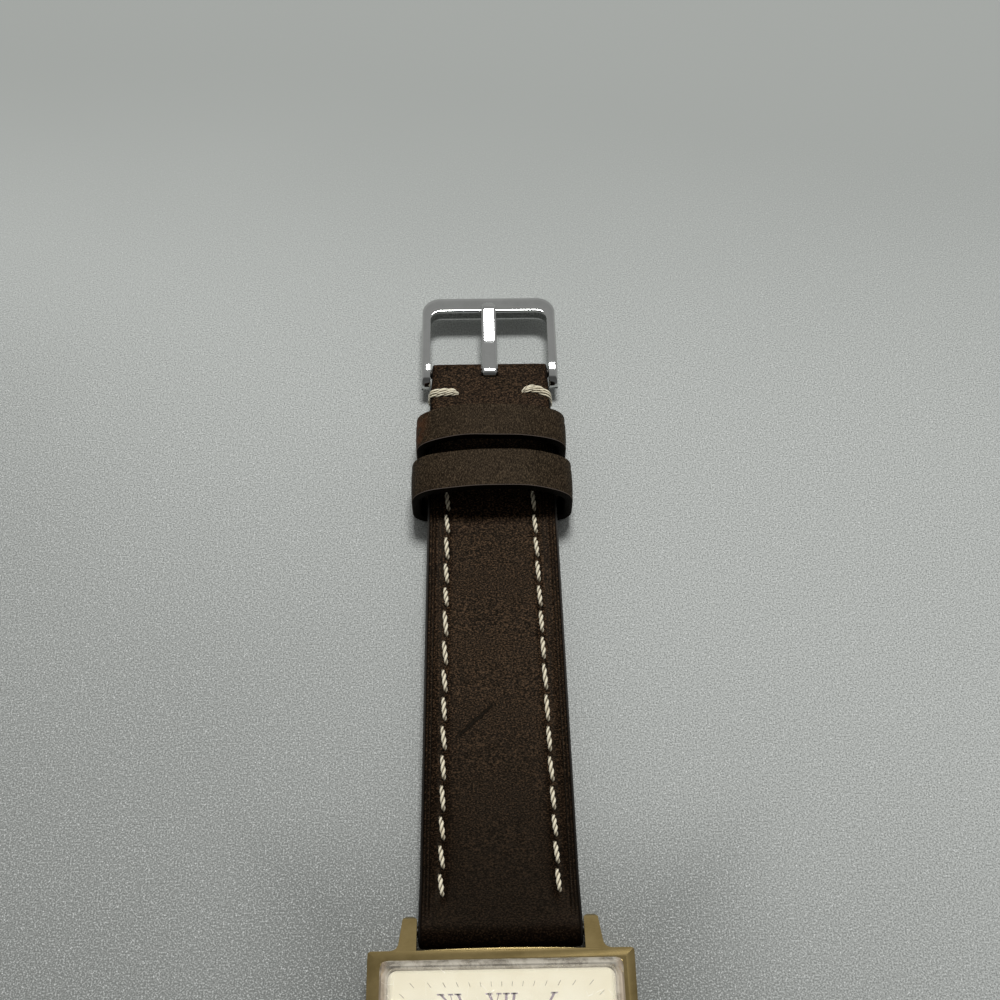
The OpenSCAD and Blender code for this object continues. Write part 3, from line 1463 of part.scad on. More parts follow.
module buckle_frame() {
    color(steel) difference() {
        intersection() {
            linear_extrude(frame_top + 1) frame_outline();
            along_x(2 * frame_w) frame_side();
        }
        rod_x(bar_hole_r, -frame_w / 2 + arm_w - 0.9, frame_w / 2 - arm_w + 0.9, buckle_y, buckle_bar_z);
    }
}

module buckle_tongue() {
    top = buckle_bar_z + loop_r;
    tip_y = tongue_tip_y - tongue_w / 2;
    bar_edge = frame_y - far_bar_w;
    color(steel) difference() {
        union() {
            rod_x(loop_r, -tongue_w / 2, tongue_w / 2, buckle_y, buckle_bar_z);
            intersection() {
                linear_extrude(2 * frame_top) union() {
                    translate([-tongue_w / 2, buckle_y]) square([tongue_w, tip_y - buckle_y]);
                    translate([0, tip_y]) circle(tongue_w / 2);
                }
                along_x(2 * tongue_w) polygon([
                    [buckle_y, top - tongue_t * 0.7], [buckle_y + tongue_kink, top - tongue_t * 0.9],
                    [bar_edge - 0.4, tongue_z], [tongue_tip_y, tongue_z],
                    [tongue_tip_y, tongue_z + tongue_t * 0.35],
                    [tongue_tip_y - tongue_w / 2, tongue_z + tongue_t * 0.8],
                    [bar_edge, tongue_z + tongue_t],
                    [buckle_y + tongue_kink, top + slip], [buckle_y, top]
                ]);
            }
        }
        rod_x(bar_r + slip, -tongue_w, tongue_w, buckle_y, buckle_bar_z);
    }
}

case_body();
case_back();
back_gasket();
crystal();
crown_tube();
dial();
movement_holder();
main_plate();
barrel_bridge();
train_bridge();
pallet_bridge();
balance_cock();
movement_screws();
jewels();
crown();
winding_stem();
winding_pinion();
clutch_wheel();
crown_wheel();
crown_wheel_core();
ratchet_wheel();
ratchet_screw();
click();
click_spring();
barrel_drum();
barrel_lid();
barrel_arbor();
mainspring();
centre_wheel();
third_wheel();
fourth_wheel();
escape_wheel();
pallet_fork();
balance_wheel();
hairspring();
setting_lever();
yoke();
setting_spring();
setting_wheel();
minute_wheel();
cannon_pinion();
hour_wheel();
hour_hand();
minute_hand();
lug_bars();
lug_bar_pins();
buckle_strap_leather();
buckle_strap_lining();
buckle_strap_stitching();
fixed_keeper();
floating_keeper();
tail_strap_leather();
tail_strap_lining();
tail_strap_stitching();
buckle_frame();
buckle_tongue();
buckle_bar();
buckle_bar_pins();
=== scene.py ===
"""Looks of a square hand-wound wristwatch on a leather strap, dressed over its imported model."""
import json
from functools import partialmethod

import bmesh
import bpy
import numpy as np
from mathutils import Matrix

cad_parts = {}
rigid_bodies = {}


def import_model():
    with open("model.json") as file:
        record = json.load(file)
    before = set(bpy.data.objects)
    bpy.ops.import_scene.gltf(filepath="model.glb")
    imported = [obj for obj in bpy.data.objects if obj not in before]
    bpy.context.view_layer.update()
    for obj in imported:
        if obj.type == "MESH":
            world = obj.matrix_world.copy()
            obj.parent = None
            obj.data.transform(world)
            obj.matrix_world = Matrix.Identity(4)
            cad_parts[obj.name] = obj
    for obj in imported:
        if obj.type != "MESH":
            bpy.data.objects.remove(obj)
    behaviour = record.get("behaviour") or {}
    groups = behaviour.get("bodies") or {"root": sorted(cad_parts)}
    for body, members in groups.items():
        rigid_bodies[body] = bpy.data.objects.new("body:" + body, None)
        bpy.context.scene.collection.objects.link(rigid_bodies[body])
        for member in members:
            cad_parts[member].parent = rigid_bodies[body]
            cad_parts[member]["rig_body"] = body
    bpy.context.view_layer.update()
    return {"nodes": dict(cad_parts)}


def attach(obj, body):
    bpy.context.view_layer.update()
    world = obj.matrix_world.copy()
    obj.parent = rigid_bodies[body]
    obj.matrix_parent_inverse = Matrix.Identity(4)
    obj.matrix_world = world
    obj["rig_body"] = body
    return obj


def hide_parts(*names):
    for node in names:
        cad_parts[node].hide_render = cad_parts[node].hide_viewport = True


MM = 0.001

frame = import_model()
bpy.context.scene.view_settings.view_transform = "Standard"
rng = np.random.default_rng(7)

# Camera, from the photograph's corners: place in mm, angles in degrees
CAMERA_AT = np.array([-1.68, -23.08, 156.1])
LOOK_DOWN, TURN, ROLL = np.radians([58.38, 1.64, -0.61])
LENS, SENSOR = 50.4, 36.0

# One lamp, in metres, and the room's light against the height of the direction
LAMP_AT, LAMP_AIM = np.array([0.06, 0.56, 1.06]), np.array([0.0, 0.05, 0.0])
LAMP_SIZE, LAMP_POWER = (0.34, 0.26), 13.0
ROOM_LIGHT = [(0.0, 0.41), (0.55, 0.41), (0.72, 0.35), (0.9, 0.37), (1.0, 0.31)]
FLOOR_HALF = 3.0

# Strap sizes in mm, as in the source
BAR_Y, BAR_Z = 16.55, 3.1
STRAP_W, STRAP_END_W = 17.7, 16.1
LOOP_W, LOOP_NECK = 15.56, 5.0
STRAP_T, STRAP_THIN_T, LINING_T, EDGE_T = 3.6, 2.65, 0.6, 1.9
ROLL_R, LOOP_R = 1.8, 1.35
PADDING_START, PADDING_LEN, PADDING_FADE = 3.0, 42.0, 8.0
BUCKLE_LEN, TAIL_LEN, TIP_LEN = 75.0, 115.0, 9.0
BUCKLE_Y, BUCKLE_BAR_Z = 91.55, 2.65
FRAME_Y, FRAME_HALF, FRAME_TOP, ARM_W, FAR_BAR_W = 104.25, 9.23, 3.8, 1.2, 2.7
FRAME_CORNERS, ARM_END = (2.5, 1.5), 1.95
TONGUE_HALF, TONGUE_KINK, TONGUE_TIP, TONGUE_RING = 1.04, 4.5, 1.35, (1.2, 1.35)
LUG_BORE, BUCKLE_BORE = 0.86, 0.82
SLOT_HALF, SLOT_LEN, SLOT_CORNER = 1.12, 1.5, 0.2
FOLD_LEN, FOLD_GAP, EDGE_ROUND, EDGE_SHARE = 3.6, 0.012, 0.42, 0.955
HOLES, HOLE_R = TAIL_LEN - 26.0 - 6.5 * np.arange(7), 0.95

# Details of the leather: where the stitches' gaps lie on each side, how far the crease lines lie from the edge,
# depths, the grid lines across a hole, the half width that the grid's shares of a hole go by, and the threads
LEFT_GAPS = np.array([19.6, 22.7, 25.9, 29.2, 32.85, 36.45, 40.05, 43.65, 47.2, 51.0, 55.1, 58.3, 61.7, 65.5,
                      68.8, 72.2]) - BAR_Y
RIGHT_GAPS = np.array([19.9, 23.1, 26.15, 29.2, 32.5, 36.1, 39.8, 43.8, 47.8, 51.35, 54.9, 58.4, 61.9, 65.3,
                       68.65, 72.1]) - BAR_Y
TAIL_GAPS = 1.3 + 3.48 * np.arange(29)
GAP_HALF = 0.3
CREASES = (1.95, 1.5, 1.05, 0.65)
SEAM_DEPTH, CREASE_DEPTH, DIMPLE_DEPTH = 0.12, 0.08, 0.16
HOLE_LINES = HOLE_R * np.array([-2, -1.5, -1, -0.67, -0.33, 0, 0.33, 0.67, 1, 1.5, 2])
LINING_HOLE_LINES = HOLE_R * np.linspace(-2, 2, 13)
HOLE_WIDTH = 8.2
UNDER_ROWS, LUG_ROWS, LOOP_ROWS = 6, 18, 20
TACK_Y = 87.45
PLY_R, PLY_AWAY = 0.165, 0.13
TACK_R, TACK_AWAY = 0.12, 0.09

# Keepers, dial and hands in mm, as in the source; each keeper's width, height, middle, length and seam
KEEPER_T, KEEPER_ARCH, KEEPER_FOOT = 1.25, 2.4, 2.1
FIXED_KEEPER = (19.6, 8.6, 80.05, 4.9, 3.0)
LOOSE_KEEPER = (20.6, 9.0, 72.45, 5.5, -3.0)
DIAL_TOP, PRINT_T = 5.3, 0.012
TRACK, NUMERALS = (10.15, 10.65), (6.9, 9.5)
GOLD_EDGE, BACK_EDGE = 0.05, 0.08

# Each hand's height, length, width, hole, tail, angle in degrees and thickness
HOUR_HAND = (5.65, 6.3, 0.95, 0.72, 1.5, 305.0, 0.16)
MINUTE_HAND = (5.99, 9.4, 0.8, 0.44, 2.0, 60.0, 0.15)


class Value:
    """A shader socket that adds Math nodes when it is used in an expression."""

    def __init__(self, finish, socket):
        self.finish, self.socket = finish, socket

    def math(self, operation, *others):
        return self.finish.node("Math", {"operation": operation}, dict(enumerate((self, *others))))

    __add__ = __radd__ = partialmethod(math, "ADD")
    __mul__ = __rmul__ = partialmethod(math, "MULTIPLY")
    __sub__, __pow__ = partialmethod(math, "SUBTRACT"), partialmethod(math, "POWER")
    size, wave, most = partialmethod(math, "ABSOLUTE"), partialmethod(math, "SINE"), partialmethod(math, "MAXIMUM")

    def __rsub__(self, other):
        return self * -1.0 + other

    def between(self, low, high):
        """0 below low, 1 above high, a smooth step between."""
        return self.finish.node("MapRange", {"interpolation_type": "SMOOTHSTEP"},
                                {"Value": self, "From Min": low, "From Max": high})


class Nodes:
    """A node tree, and the one method that adds its nodes."""

    def __init__(self, tree):
        self.tree = tree

    def node(self, kind, settings, inputs, output=0):
        made = self.tree.nodes.new("ShaderNode" + kind)
        for key, value in settings.items():
            if key == "stops":
                ramp = made.color_ramp
                while len(ramp.elements) < len(value):
                    ramp.elements.new(0.5)
                for element, (at, colour) in zip(ramp.elements, value):
                    element.position, element.color = at, (*colour, 1)
            else:
                setattr(made, key, value)
        for key, value in inputs.items():
            self.feed(made.inputs[key], value)
        return Value(self, made.outputs[output])

    def feed(self, socket, value):
        if isinstance(value, Value):
            self.tree.links.new(value.socket, socket)
        elif socket.type == "RGBA" and len(value) == 3:
            socket.default_value = (*value, 1)
        else:
            socket.default_value = value


class Finish(Nodes):
    """A material with its Principled shader; places on the surface are in mm."""

    def __init__(self, name, **shader):
        self.material = bpy.data.materials.new(name)
        self.material.use_nodes = True
        super().__init__(self.material.node_tree)
        self.shader = self.tree.nodes["Principled BSDF"]
        self.set(**shader)
        place = self.node("TexCoord", {}, {}, "Object")
        self.mm = self.node("VectorMath", {"operation": "SCALE"}, {0: place, "Scale": 1 / MM})

    def set(self, **sockets):
        for key, value in sockets.items():
            self.feed(self.shader.inputs[key.replace("_", " ")], value)

    def at(self, axis):
        """One coordinate."""
        return self.node("SeparateXYZ", {}, {0: self.mm}, axis)

    def stretched(self, x, y, z):
        return self.node("VectorMath", {"operation": "MULTIPLY"}, {0: self.mm, 1: (x, y, z)})

    def noise(self, scale, detail=3.0, rough=0.5, where=None):
        return self.node("TexNoise", {}, {"Vector": where or self.mm, "Scale": scale, "Detail": detail,
                                          "Roughness": rough})

    def cells(self, scale, feature="F1", where=None):
        return self.node("TexVoronoi", {"feature": feature}, {"Vector": where or self.mm, "Scale": scale},
                         "Distance")

    def mix(self, share, first, second):
        return self.node("Mix", {"data_type": "RGBA"}, {0: share, 6: first, 7: second}, 2)

    def rim(self):
        """How far a point belongs to a worked or worn edge; it also marks crease and corner lines that get painted
        shade and painted highlight, and on the thread how near the core a point lies, which gets painted shade.
        """
        return self.node("Attribute", {"attribute_name": "rim"}, {}, "Fac")

    def layers(self, colour, *covers):
        """Covers, each a share and a colour, laid over a first colour one after the other."""
        for share, cover in covers:
            colour = self.mix(share, colour, cover)
        return colour

    def reach(self):
        """Distance from the middle in x or in y, whichever is larger."""
        return self.at("X").size().most(self.at("Y").size())

    def done(self, colour, rough, height, depth_mm, strength=0.6):
        """The material with its colour, roughness and bumps: height is 0..1 and depth_mm is what 1 stands for."""
        bump = {"Height": height, "Distance": depth_mm * MM, "Strength": strength}
        self.set(Base_Color=colour, Roughness=rough, Normal=self.node("Bump", {}, bump))
        return self.material


def srgb(*levels):
    """Linear colour of 0..255 screen levels."""
    c = np.array(levels) / 255
    return tuple(np.where(c < 0.04045, c / 12.92, ((c + 0.055) / 1.055) ** 2.4).tolist())


# Materials
def leather(name, dark, light, edge, grain, rough, corner_line_colour, gloss, contrast=1.0, scar=None, burn=None):
    """Fine grain in its own pattern, with pale peaks that carry painted highlight and dark pits that carry painted
    shade, patches of pull-up colour, creases across, and worked edges with a line at the corner in its own colour:
    painted shade on the strap, painted highlight on the keepers. With a scar, given by its two ends, the leather also
    gets painted shade that darkens it towards the case; burn is the corner of one reddened place and its colour."""
    f = Finish(name, IOR=1.5, Specular_IOR_Level=gloss, Specular_Tint=(1.0, 0.8, 0.58))
    rim = f.rim()
    patches = f.noise(0.13, 4.0, 0.6)
    mottle = f.noise(0.9, 4.0, 0.65)
    fine = f.noise(1.0, 2.0, 0.6, f.stretched(*grain))
    creases = f.noise(1.6, 4.0, 0.7, f.stretched(0.35, 1.9, 0.6))
    pits = 1 - fine.between(0.36, 0.5)
    peaks = fine.between(0.5, 0.68)
    x, y = f.at("X"), f.at("Y")
    colour = f.layers(dark, ((patches * 0.4 + mottle * 0.6).between(0.4, 0.62) * 0.7, light),
                      (creases.between(0.56, 0.72) * 0.25, light),
                      # partly the grain's own colour, partly painted light: a painted highlight on the peaks and
                      # painted shade in the pits
                      (peaks * 0.8, tuple(min(c * (1 + 2.4 * contrast), 1.0) for c in light)),
                      (pits * 0.85 * contrast, tuple(c * 0.12 for c in dark)))
    if burn:
        (bx, by), reddened = burn
        place = (1 - x.between(bx, bx + 2.4)) * y.between(by, by + 1.5) * f.noise(0.8).between(0.3, 0.6)
        colour = f.mix(place * 0.6, colour, reddened)
    # worked edges in the edge colour and a thin line at the corner in the corner line colour; on the strap that line
    # and the crease lines are painted shade, on the keepers the line is a painted highlight
    colour = f.layers(colour, (rim.between(0.4, 0.95) * 0.9, edge),
                      (rim.between(0.1, 0.4) * (1 - rim.between(0.5, 0.9)) * 0.9, corner_line_colour))
    height = fine * 0.9 + creases * 0.3
    height = height * (1 - rim.between(0.1, 0.9) * 0.8)
    if scar:
        # painted shade: the strap is darkened towards the case, standing in for the light that falls off there
        painted_shade_near_case = 1 - y.size().between(15.0, 52.0)
        colour = f.mix(painted_shade_near_case * 0.8, colour, tuple(c * 0.25 for c in dark))
        (x0, y0), (x1, y1) = scar
        length = np.hypot(x1 - x0, y1 - y0)
        ux, uy = (x1 - x0) / length, (y1 - y0) / length
        off = ((y - y0) * ux - (x - x0) * uy + (f.noise(0.7, 2.0) - 0.5) * 0.5).size()
        along = (x - x0) * ux + (y - y0) * uy
        ends = along.between(-0.4, 1.0) * (1 - along.between(length - 1.2, length + 0.6))
        cut = (1 - off.between(0.1, 0.3)) * ends
        colour = f.mix(cut, colour, tuple(c * 0.05 for c in dark))
        height = height - cut * 0.8
    return f.done(colour, rough + mottle * 0.12 + pits * 0.1 - rim * 0.08, height, 0.04, 0.8)


def brushed(name, colour, tint, rough, along, depth=0.004, scratch=0.5):
    """Metal with fine lines along one direction, faint stains and a few scratches."""
    f = Finish(name, Metallic=1.0)
    lines = f.noise(26.0, 2.0, 0.6, f.stretched(*along))
    stains = f.noise(0.35, 4.0, 0.6)
    scratches = f.cells(1.1, "DISTANCE_TO_EDGE", f.stretched(1.0, 0.3, 1.0))
    marks = (1 - scratches.between(0.0, 0.012)) * f.noise(0.5, 2.0).between(0.5, 0.62)
    colour = f.mix(stains.between(0.35, 0.75) * 0.55 + lines * 0.2, colour, tint)
    rough = (stains * 0.6 + lines * 0.4 + 0.5) * rough + marks * 0.2 * scratch
    return f.done(colour, rough, lines * 0.7 - marks * scratch, depth)


def turned(name, colour, tint, rough, ring):
    """Metal turned on a lathe: fine rings about the middle."""
    f = Finish(name, Metallic=1.0)
    radius = (f.at("X") ** 2.0 + f.at("Y") ** 2.0) ** 0.5
    rings = (radius * (ring * 6.28) + f.noise(0.5) * 2.0).wave() * 0.5 + 0.5
    cloud = f.noise(0.7, 4.0)
    colour = f.mix(cloud.between(0.35, 0.7) * 0.5, colour, tint)
    return f.done(colour, rough + rings * 0.06 + cloud * 0.08, rings, 0.003, 0.5)


def grained_plate():
    """Nickel-plated plate with overlapping circles of fine graining."""
    f = Finish("movement_plate_nickel", Metallic=1.0)
    cells = f.cells(0.75, "F1", f.stretched(1.0, 1.0, 0.0))
    rings = (cells * 42.0).wave() * 0.5 + 0.5
    cloud = f.noise(0.6, 4.0)
    colour = f.mix(cloud, srgb(196, 194, 186), srgb(160, 156, 146))
    return f.done(colour, 0.3 + rings * 0.08, rings * 0.6 + f.noise(9.0) * 0.4, 0.004)


def plain(name, colour, tint, rough, scale=1.4, depth=0.006, **shader):
    """One colour with slow tone changes and a fine surface."""
    f = Finish(name, **shader)
    cloud = f.noise(scale, 4.0, 0.6)
    fine = f.noise(scale * 14, 3.0, 0.6)
    colour = f.mix(cloud.between(0.3, 0.75), colour, tint)
    return f.done(colour, rough + (fine - 0.5) * 0.12, fine, depth)


def gold_finish():
    """Worn gold plating: brushed facets, random patches of dull tarnish and small dents."""
    f = Finish("worn_gold_plating", Metallic=1.0)
    lines = f.noise(24.0, 2.0, 0.6, f.stretched(0.06, 1.0, 1.0))
    tarnish = f.noise(0.22, 5.0, 0.65)
    specks = f.cells(2.6).between(0.02, 0.1)
    colour = f.layers(srgb(166, 146, 100), (tarnish.between(0.35, 0.7), srgb(138, 120, 78)),
                      ((1 - specks) * 0.4, srgb(84, 68, 42)))
    rough = 0.13 + tarnish * 0.08 + (lines - 0.5) * 0.06
    return f.done(colour, rough, lines * 0.4 + specks * 0.3 + f.noise(3.0) * 0.3, 0.003)


def dial_finish():
    """Cream lacquer, a little yellowed towards the edge, with age specks."""
    f = Finish("cream_dial_lacquer", IOR=1.45, Specular_IOR_Level=0.25)
    cloud = f.noise(0.35, 5.0, 0.62)
    specks = f.cells(1.7, "F1").between(0.015, 0.05)
    colour = f.layers(srgb(233, 229, 212), (cloud.between(0.3, 0.75), srgb(226, 220, 200)),
                      (f.reach().between(7.0, 12.0) * 0.3, srgb(226, 214, 180)),
                      ((1 - specks) * 0.35, srgb(150, 120, 80)))
    return f.done(colour, 0.42 + cloud * 0.12, f.noise(11.0), 0.004, 0.5)


def crystal_finish():
    """Clear acrylic with hair scratches and a frosted, yellowed rim whose left and right sides carry a painted peach
    reflection; light passes straight through the clear part, so that it doesn't shade the dial."""
    f = Finish("scratched_acrylic", Transmission_Weight=1.0, IOR=1.49)
    scratches = f.cells(0.3, "DISTANCE_TO_EDGE", f.stretched(1.0, 0.45, 1.0))
    marks = (1 - scratches.between(0.0, 0.006)) * f.noise(0.35).between(0.54, 0.62)
    rough = 0.03 + marks * 0.3 + f.noise(0.5).between(0.4, 0.8) * 0.03
    haze = f.noise(0.7, 3.0, 0.55)
    across = f.node("CombineXYZ", {}, {"X": f.at("X") * 2.6 + f.at("Y") * 1.3, "Y": f.at("Y") * 0.25})
    scored = 1 - (f.noise(1.1, 2.0, 0.6, across) - 0.5).size().between(0.01, 0.05)
    scored = scored * f.noise(0.45).between(0.5, 0.6)
    frosted = f.layers(srgb(146, 138, 124), (haze.between(0.35, 0.65), srgb(190, 183, 168)),
                       # painted reflection: peach on the left and right sides of the frosted rim
                       (f.at("X").size().between(11.7, 12.4) * 0.5, srgb(206, 178, 146)),
                       (scored * 0.5, srgb(116, 106, 92)))
    frost = f.node("BsdfPrincipled", {}, {"Base Color": frosted, "Roughness": 0.6, "IOR": 1.49,
                                          "Specular IOR Level": 0.3})
    share = f.reach().between(11.2, 12.1) * (0.48 + haze.between(0.38, 0.6) * 0.14)
    rimmed = f.node("MixShader", {}, {0: share, 1: Value(f, f.shader.outputs[0]), 2: frost})
    clear = f.node("BsdfTransparent", {}, {"Color": (0.99, 0.985, 0.97)})
    shading = f.node("LightPath", {}, {}, "Is Shadow Ray").most(f.node("LightPath", {}, {}, "Is Diffuse Ray"))
    mixed = f.node("MixShader", {}, {0: shading, 1: rimmed, 2: clear})
    f.feed(f.tree.nodes["Material Output"].inputs["Surface"], mixed)
    return f.done((1.0, 0.995, 0.98), rough, 1 - marks, 0.003, 0.4)


def thread_finish():
    """Waxed linen thread: cream fibres along each ply, with painted shade where the plies meet near the stitch's
    core.
    """
    f = Finish("cream_linen_thread", Sheen_Weight=0.25, IOR=1.45)
    fibres = f.noise(9.0, 3.0, 0.6, f.stretched(1.0, 0.5, 1.0))
    soiled = f.noise(0.5, 3.0)
    colour = f.layers(srgb(208, 197, 168), (fibres.between(0.3, 0.75), srgb(232, 225, 203)),
                      (soiled.between(0.55, 0.8) * 0.35, srgb(176, 156, 118)),
                      # painted shade: darker towards each stitch's core, where the plies meet
                      (f.rim().between(0.16, 0.5) * 0.9, srgb(74, 60, 34)))
    return f.done(colour, 0.6 + fibres * 0.15, fibres, 0.02)


def floor_finish():
    """Pale grey table top: fine grain with bright specks that fades with distance, and painted shade in slow tone
    changes: palest just behind the watch, dimmer far behind it and towards the front left corner, and a painted
    shadow round the case."""
    f = Finish("pale_table", IOR=1.4, Specular_IOR_Level=0.2)
    grain = f.noise(5.4, 3.0, 0.6)
    specks = 1 - f.cells(1.7, "F1").between(0.06, 0.17)
    x, y = f.at("X"), f.at("Y")
    cloud = (f.noise(0.015, 2.0) - 0.5) * 40.0
    # painted shade: dimmer towards the front left corner, where less light falls
    near = 1 - (y + x * 0.6 + cloud).between(-30.0, 82.0)
    # painted shadow: darker round the case
    painted_shadow_round_case = 1 - f.reach().between(12.0, 34.0)
    # painted shade: dimmer far behind the watch
    far = (y + x * 0.2 + cloud * 0.6).between(85.0, 150.0)
    seen = 1 - y.between(80.0, 150.0)
    colour = f.layers(srgb(167, 170, 167), (far * 0.9, srgb(147, 150, 147)), (near * 0.9, srgb(119, 121, 118)),
                      (painted_shadow_round_case * 0.5, srgb(72, 74, 71)),
                      ((1 - grain.between(0.36, 0.52)) * seen * 0.6, srgb(94, 96, 94)),
                      (grain.between(0.5, 0.66) * seen * 0.6, srgb(204, 207, 204)),
                      (specks * seen * 0.7, srgb(220, 222, 220)))
    return f.done(colour, 0.7, grain, 0.03, 0.3)


# The record's slots and three more looks, and the nodes whose look isn't their slot's
FINISHES = {
    # strap: the grey edge colour is partly the edge paint and partly painted sheen; the near-black corner line colour
    # is painted shade
    "strap_leather": leather("dark_brown_leather", srgb(22, 15, 10), srgb(36, 26, 17), srgb(56, 54, 52),
                             (4.6, 6.2, 5.2), 0.36, srgb(9, 7, 5), 0.028, 1.7, ((-4.81, 38.1), (0.05, 42.6))),
    # keepers: the near-black edge colour is partly the cut faces' dye and partly painted shade; the pale corner line
    # colour is a painted highlight
    "keeper_leather": leather("keeper_leather", srgb(35, 28, 20), srgb(46, 38, 28), srgb(7, 5, 4), (9.5, 3.6, 7.0),
                              0.46, srgb(104, 94, 88), 0.04, 0.8, None, ((-9.9, 76.6), srgb(80, 46, 25))),
    "lining_leather": leather("lining_leather", srgb(92, 66, 44), srgb(122, 92, 64), srgb(60, 42, 30),
                              (5.5, 4.6, 5.5), 0.6, srgb(110, 84, 60), 0.2, 0.5),
    "thread": thread_finish(),
    "gold_case": gold_finish(),
    "case_back_steel": turned("turned_case_back_steel", srgb(190, 191, 190), srgb(158, 158, 155), 0.2, 3.0),
    "polished_steel": brushed("polished_buckle_steel", srgb(203, 204, 202), srgb(186, 188, 186), 0.05,
                              (0.05, 1.0, 1.0), 0.0004, 0.3),
    "bar_steel": brushed("dull_bar_steel", srgb(56, 54, 51), srgb(42, 40, 38), 0.45, (0.05, 1.0, 1.0)),
    "movement_steel": brushed("movement_steel", srgb(186, 187, 188), srgb(150, 150, 150), 0.22, (1.0, 0.08, 1.0)),
    "blued_steel": plain("heat_blued_steel", srgb(28, 38, 92), srgb(52, 34, 88), 0.2, Metallic=1.0),
    "nickel": grained_plate(),
    "brass": brushed("gilt_brass", srgb(214, 182, 108), srgb(180, 146, 82), 0.26, (1.0, 1.0, 0.1)),
    "crystal": crystal_finish(),
    "dial_cream": dial_finish(),
    "holder_grey": plain("moulded_grey_holder", srgb(122, 122, 118), srgb(104, 104, 102), 0.5, 0.9, 0.02),
    "gasket_black": plain("black_gasket_rubber", srgb(24, 24, 24), srgb(36, 36, 35), 0.6, 1.6, 0.02),
    "ruby": plain("bearing_ruby", srgb(176, 20, 56), srgb(126, 8, 38), 0.08, 2.0, 0.001, Coat_Weight=0.6),
    "hands": brushed("oxidised_hands", srgb(70, 62, 66), srgb(46, 40, 44), 0.26, (1.0, 0.1, 1.0)),
    "print": plain("dial_print", srgb(136, 124, 132), srgb(112, 100, 108), 0.5, 3.0, 0.003),
    "faint_print": plain("faint_minute_print", srgb(150, 140, 118), srgb(126, 116, 98), 0.5, 3.0, 0.003),
}
OTHER_LOOKS = {"lug_bars": "bar_steel", "lug_bar_pins": "bar_steel", "buckle_bar": "bar_steel",
               "buckle_bar_pins": "bar_steel", "cannon_pinion": "brass", "escape_wheel": "brass"}
for node_name, packed in frame["nodes"].items():
    slots = packed.data.materials
    slots[0] = FINISHES[OTHER_LOOKS.get(node_name, slots[0].name)]


# Meshes
def shown(name, data):
    """A new object in the scene."""
    made = bpy.data.objects.new(name, data)
    bpy.context.scene.collection.objects.link(made)
    return made


def stand(made, right, high, back, at):
    """Puts an object at a point in metres, with its own axes along three directions."""
    made.matrix_world = Matrix(np.block([
        [np.column_stack([right, high, back]), at[:, None]],
        [np.zeros((1, 3)), np.ones((1, 1))],
    ]).tolist())


def dressed(made, slot, body, node, look=None):
    made.data.materials.clear()
    made.data.materials.append(FINISHES[look or slot])
    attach(made, body)
    if node:
        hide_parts(node)


def piece(name, points, faces, slot, body, node=None, rim=None, smooth=True, look=None):
    """A mesh from points in mm, which may replace a node and look other than its slot; rim is 0..1 for each point
    where edges are worked, and also marks where painted shade and painted highlight go."""
    made = shown(name, bpy.data.meshes.new(name))
    made.data.from_pydata((points.reshape(-1, 3) * MM).tolist(), [], faces)
    if rim is not None:
        layer = made.data.attributes.new("rim", "FLOAT", "POINT")
        layer.data.foreach_set("value", np.clip(rim, 0, 1).astype(np.float32).ravel())
    work = bmesh.new()
    work.from_mesh(made.data)
    bmesh.ops.delete(work, geom=[v for v in work.verts if not v.link_faces], context="VERTS")
    bmesh.ops.recalc_face_normals(work, faces=work.faces)
    work.to_mesh(made.data)
    work.free()
    made.data.shade_smooth() if smooth else made.data.shade_flat()
    dressed(made, slot, body, node, look)


def softened(node, slot, width):
    """A copy of a node with its points merged, its flat faces joined and its edges rounded."""
    source = frame["nodes"][node]
    made = shown(node + "_finished", bpy.data.meshes.new(node + "_finished"))
    work = bmesh.new()
    work.from_mesh(source.data)
    bmesh.ops.remove_doubles(work, verts=work.verts, dist=2e-6)
    bmesh.ops.dissolve_limit(work, angle_limit=np.radians(0.6), verts=work.verts, edges=work.edges)
    work.to_mesh(made.data)
    work.free()
    made.data.shade_smooth()
    bevel = made.modifiers.new("bevel", "BEVEL")
    bevel.width, bevel.segments = width * MM, 2
    bevel.limit_method, bevel.angle_limit = "ANGLE", np.radians(24)
    weighted = made.modifiers.new("weighted_normals", "WEIGHTED_NORMAL")
    weighted.mode, weighted.weight = "FACE_AREA", 60
    dressed(made, slot, source["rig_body"], node)


def sheet_faces(kept):
    """Faces of a closed slab between two equal grids, for the kept cells: both skins and a wall at each border."""
    rows, columns = kept.shape
    index = np.arange((rows + 1) * (columns + 1)).reshape(rows + 1, columns + 1)
    i, j = np.nonzero(kept)
    corners = [index[i, j], index[i + 1, j], index[i + 1, j + 1], index[i, j + 1]]
    faces = [np.stack(corners, 1), np.stack(corners[::-1], 1) + index.size]
    framed = np.pad(kept, 1)
    for side, (di, dj) in enumerate([(0, -1), (1, 0), (0, 1), (-1, 0)]):
        border = ~framed[i + 1 + di, j + 1 + dj]
        a, b = corners[side][border], corners[(side + 1) % 4][border]
        faces.append(np.stack([b, a, a + index.size, b + index.size], 1))
    return np.concatenate(faces).tolist()


def slab(name, outer, inner, kept, slot, body, node, rim=None, smooth=True):
    """A closed piece between two grids of points; rim is given for both grids."""
    piece(name, np.stack([outer, inner]), sheet_faces(kept), slot, body, node, rim, smooth)


def lofted(rows, closed=False):
    """Quads between rows of rings, and a face at each end unless the rows close as well."""
    index = np.arange(rows[0] * rows[1]).reshape(rows)
    if closed:
        index = np.concatenate([index, index[:1]])
    right = np.roll(index, -1, 1)
    quads = np.stack([index[:-1], index[1:], right[1:], right[:-1]], -1).reshape(-1, 4).tolist()
    return quads if closed else quads + [index[0].tolist(), index[-1].tolist()]


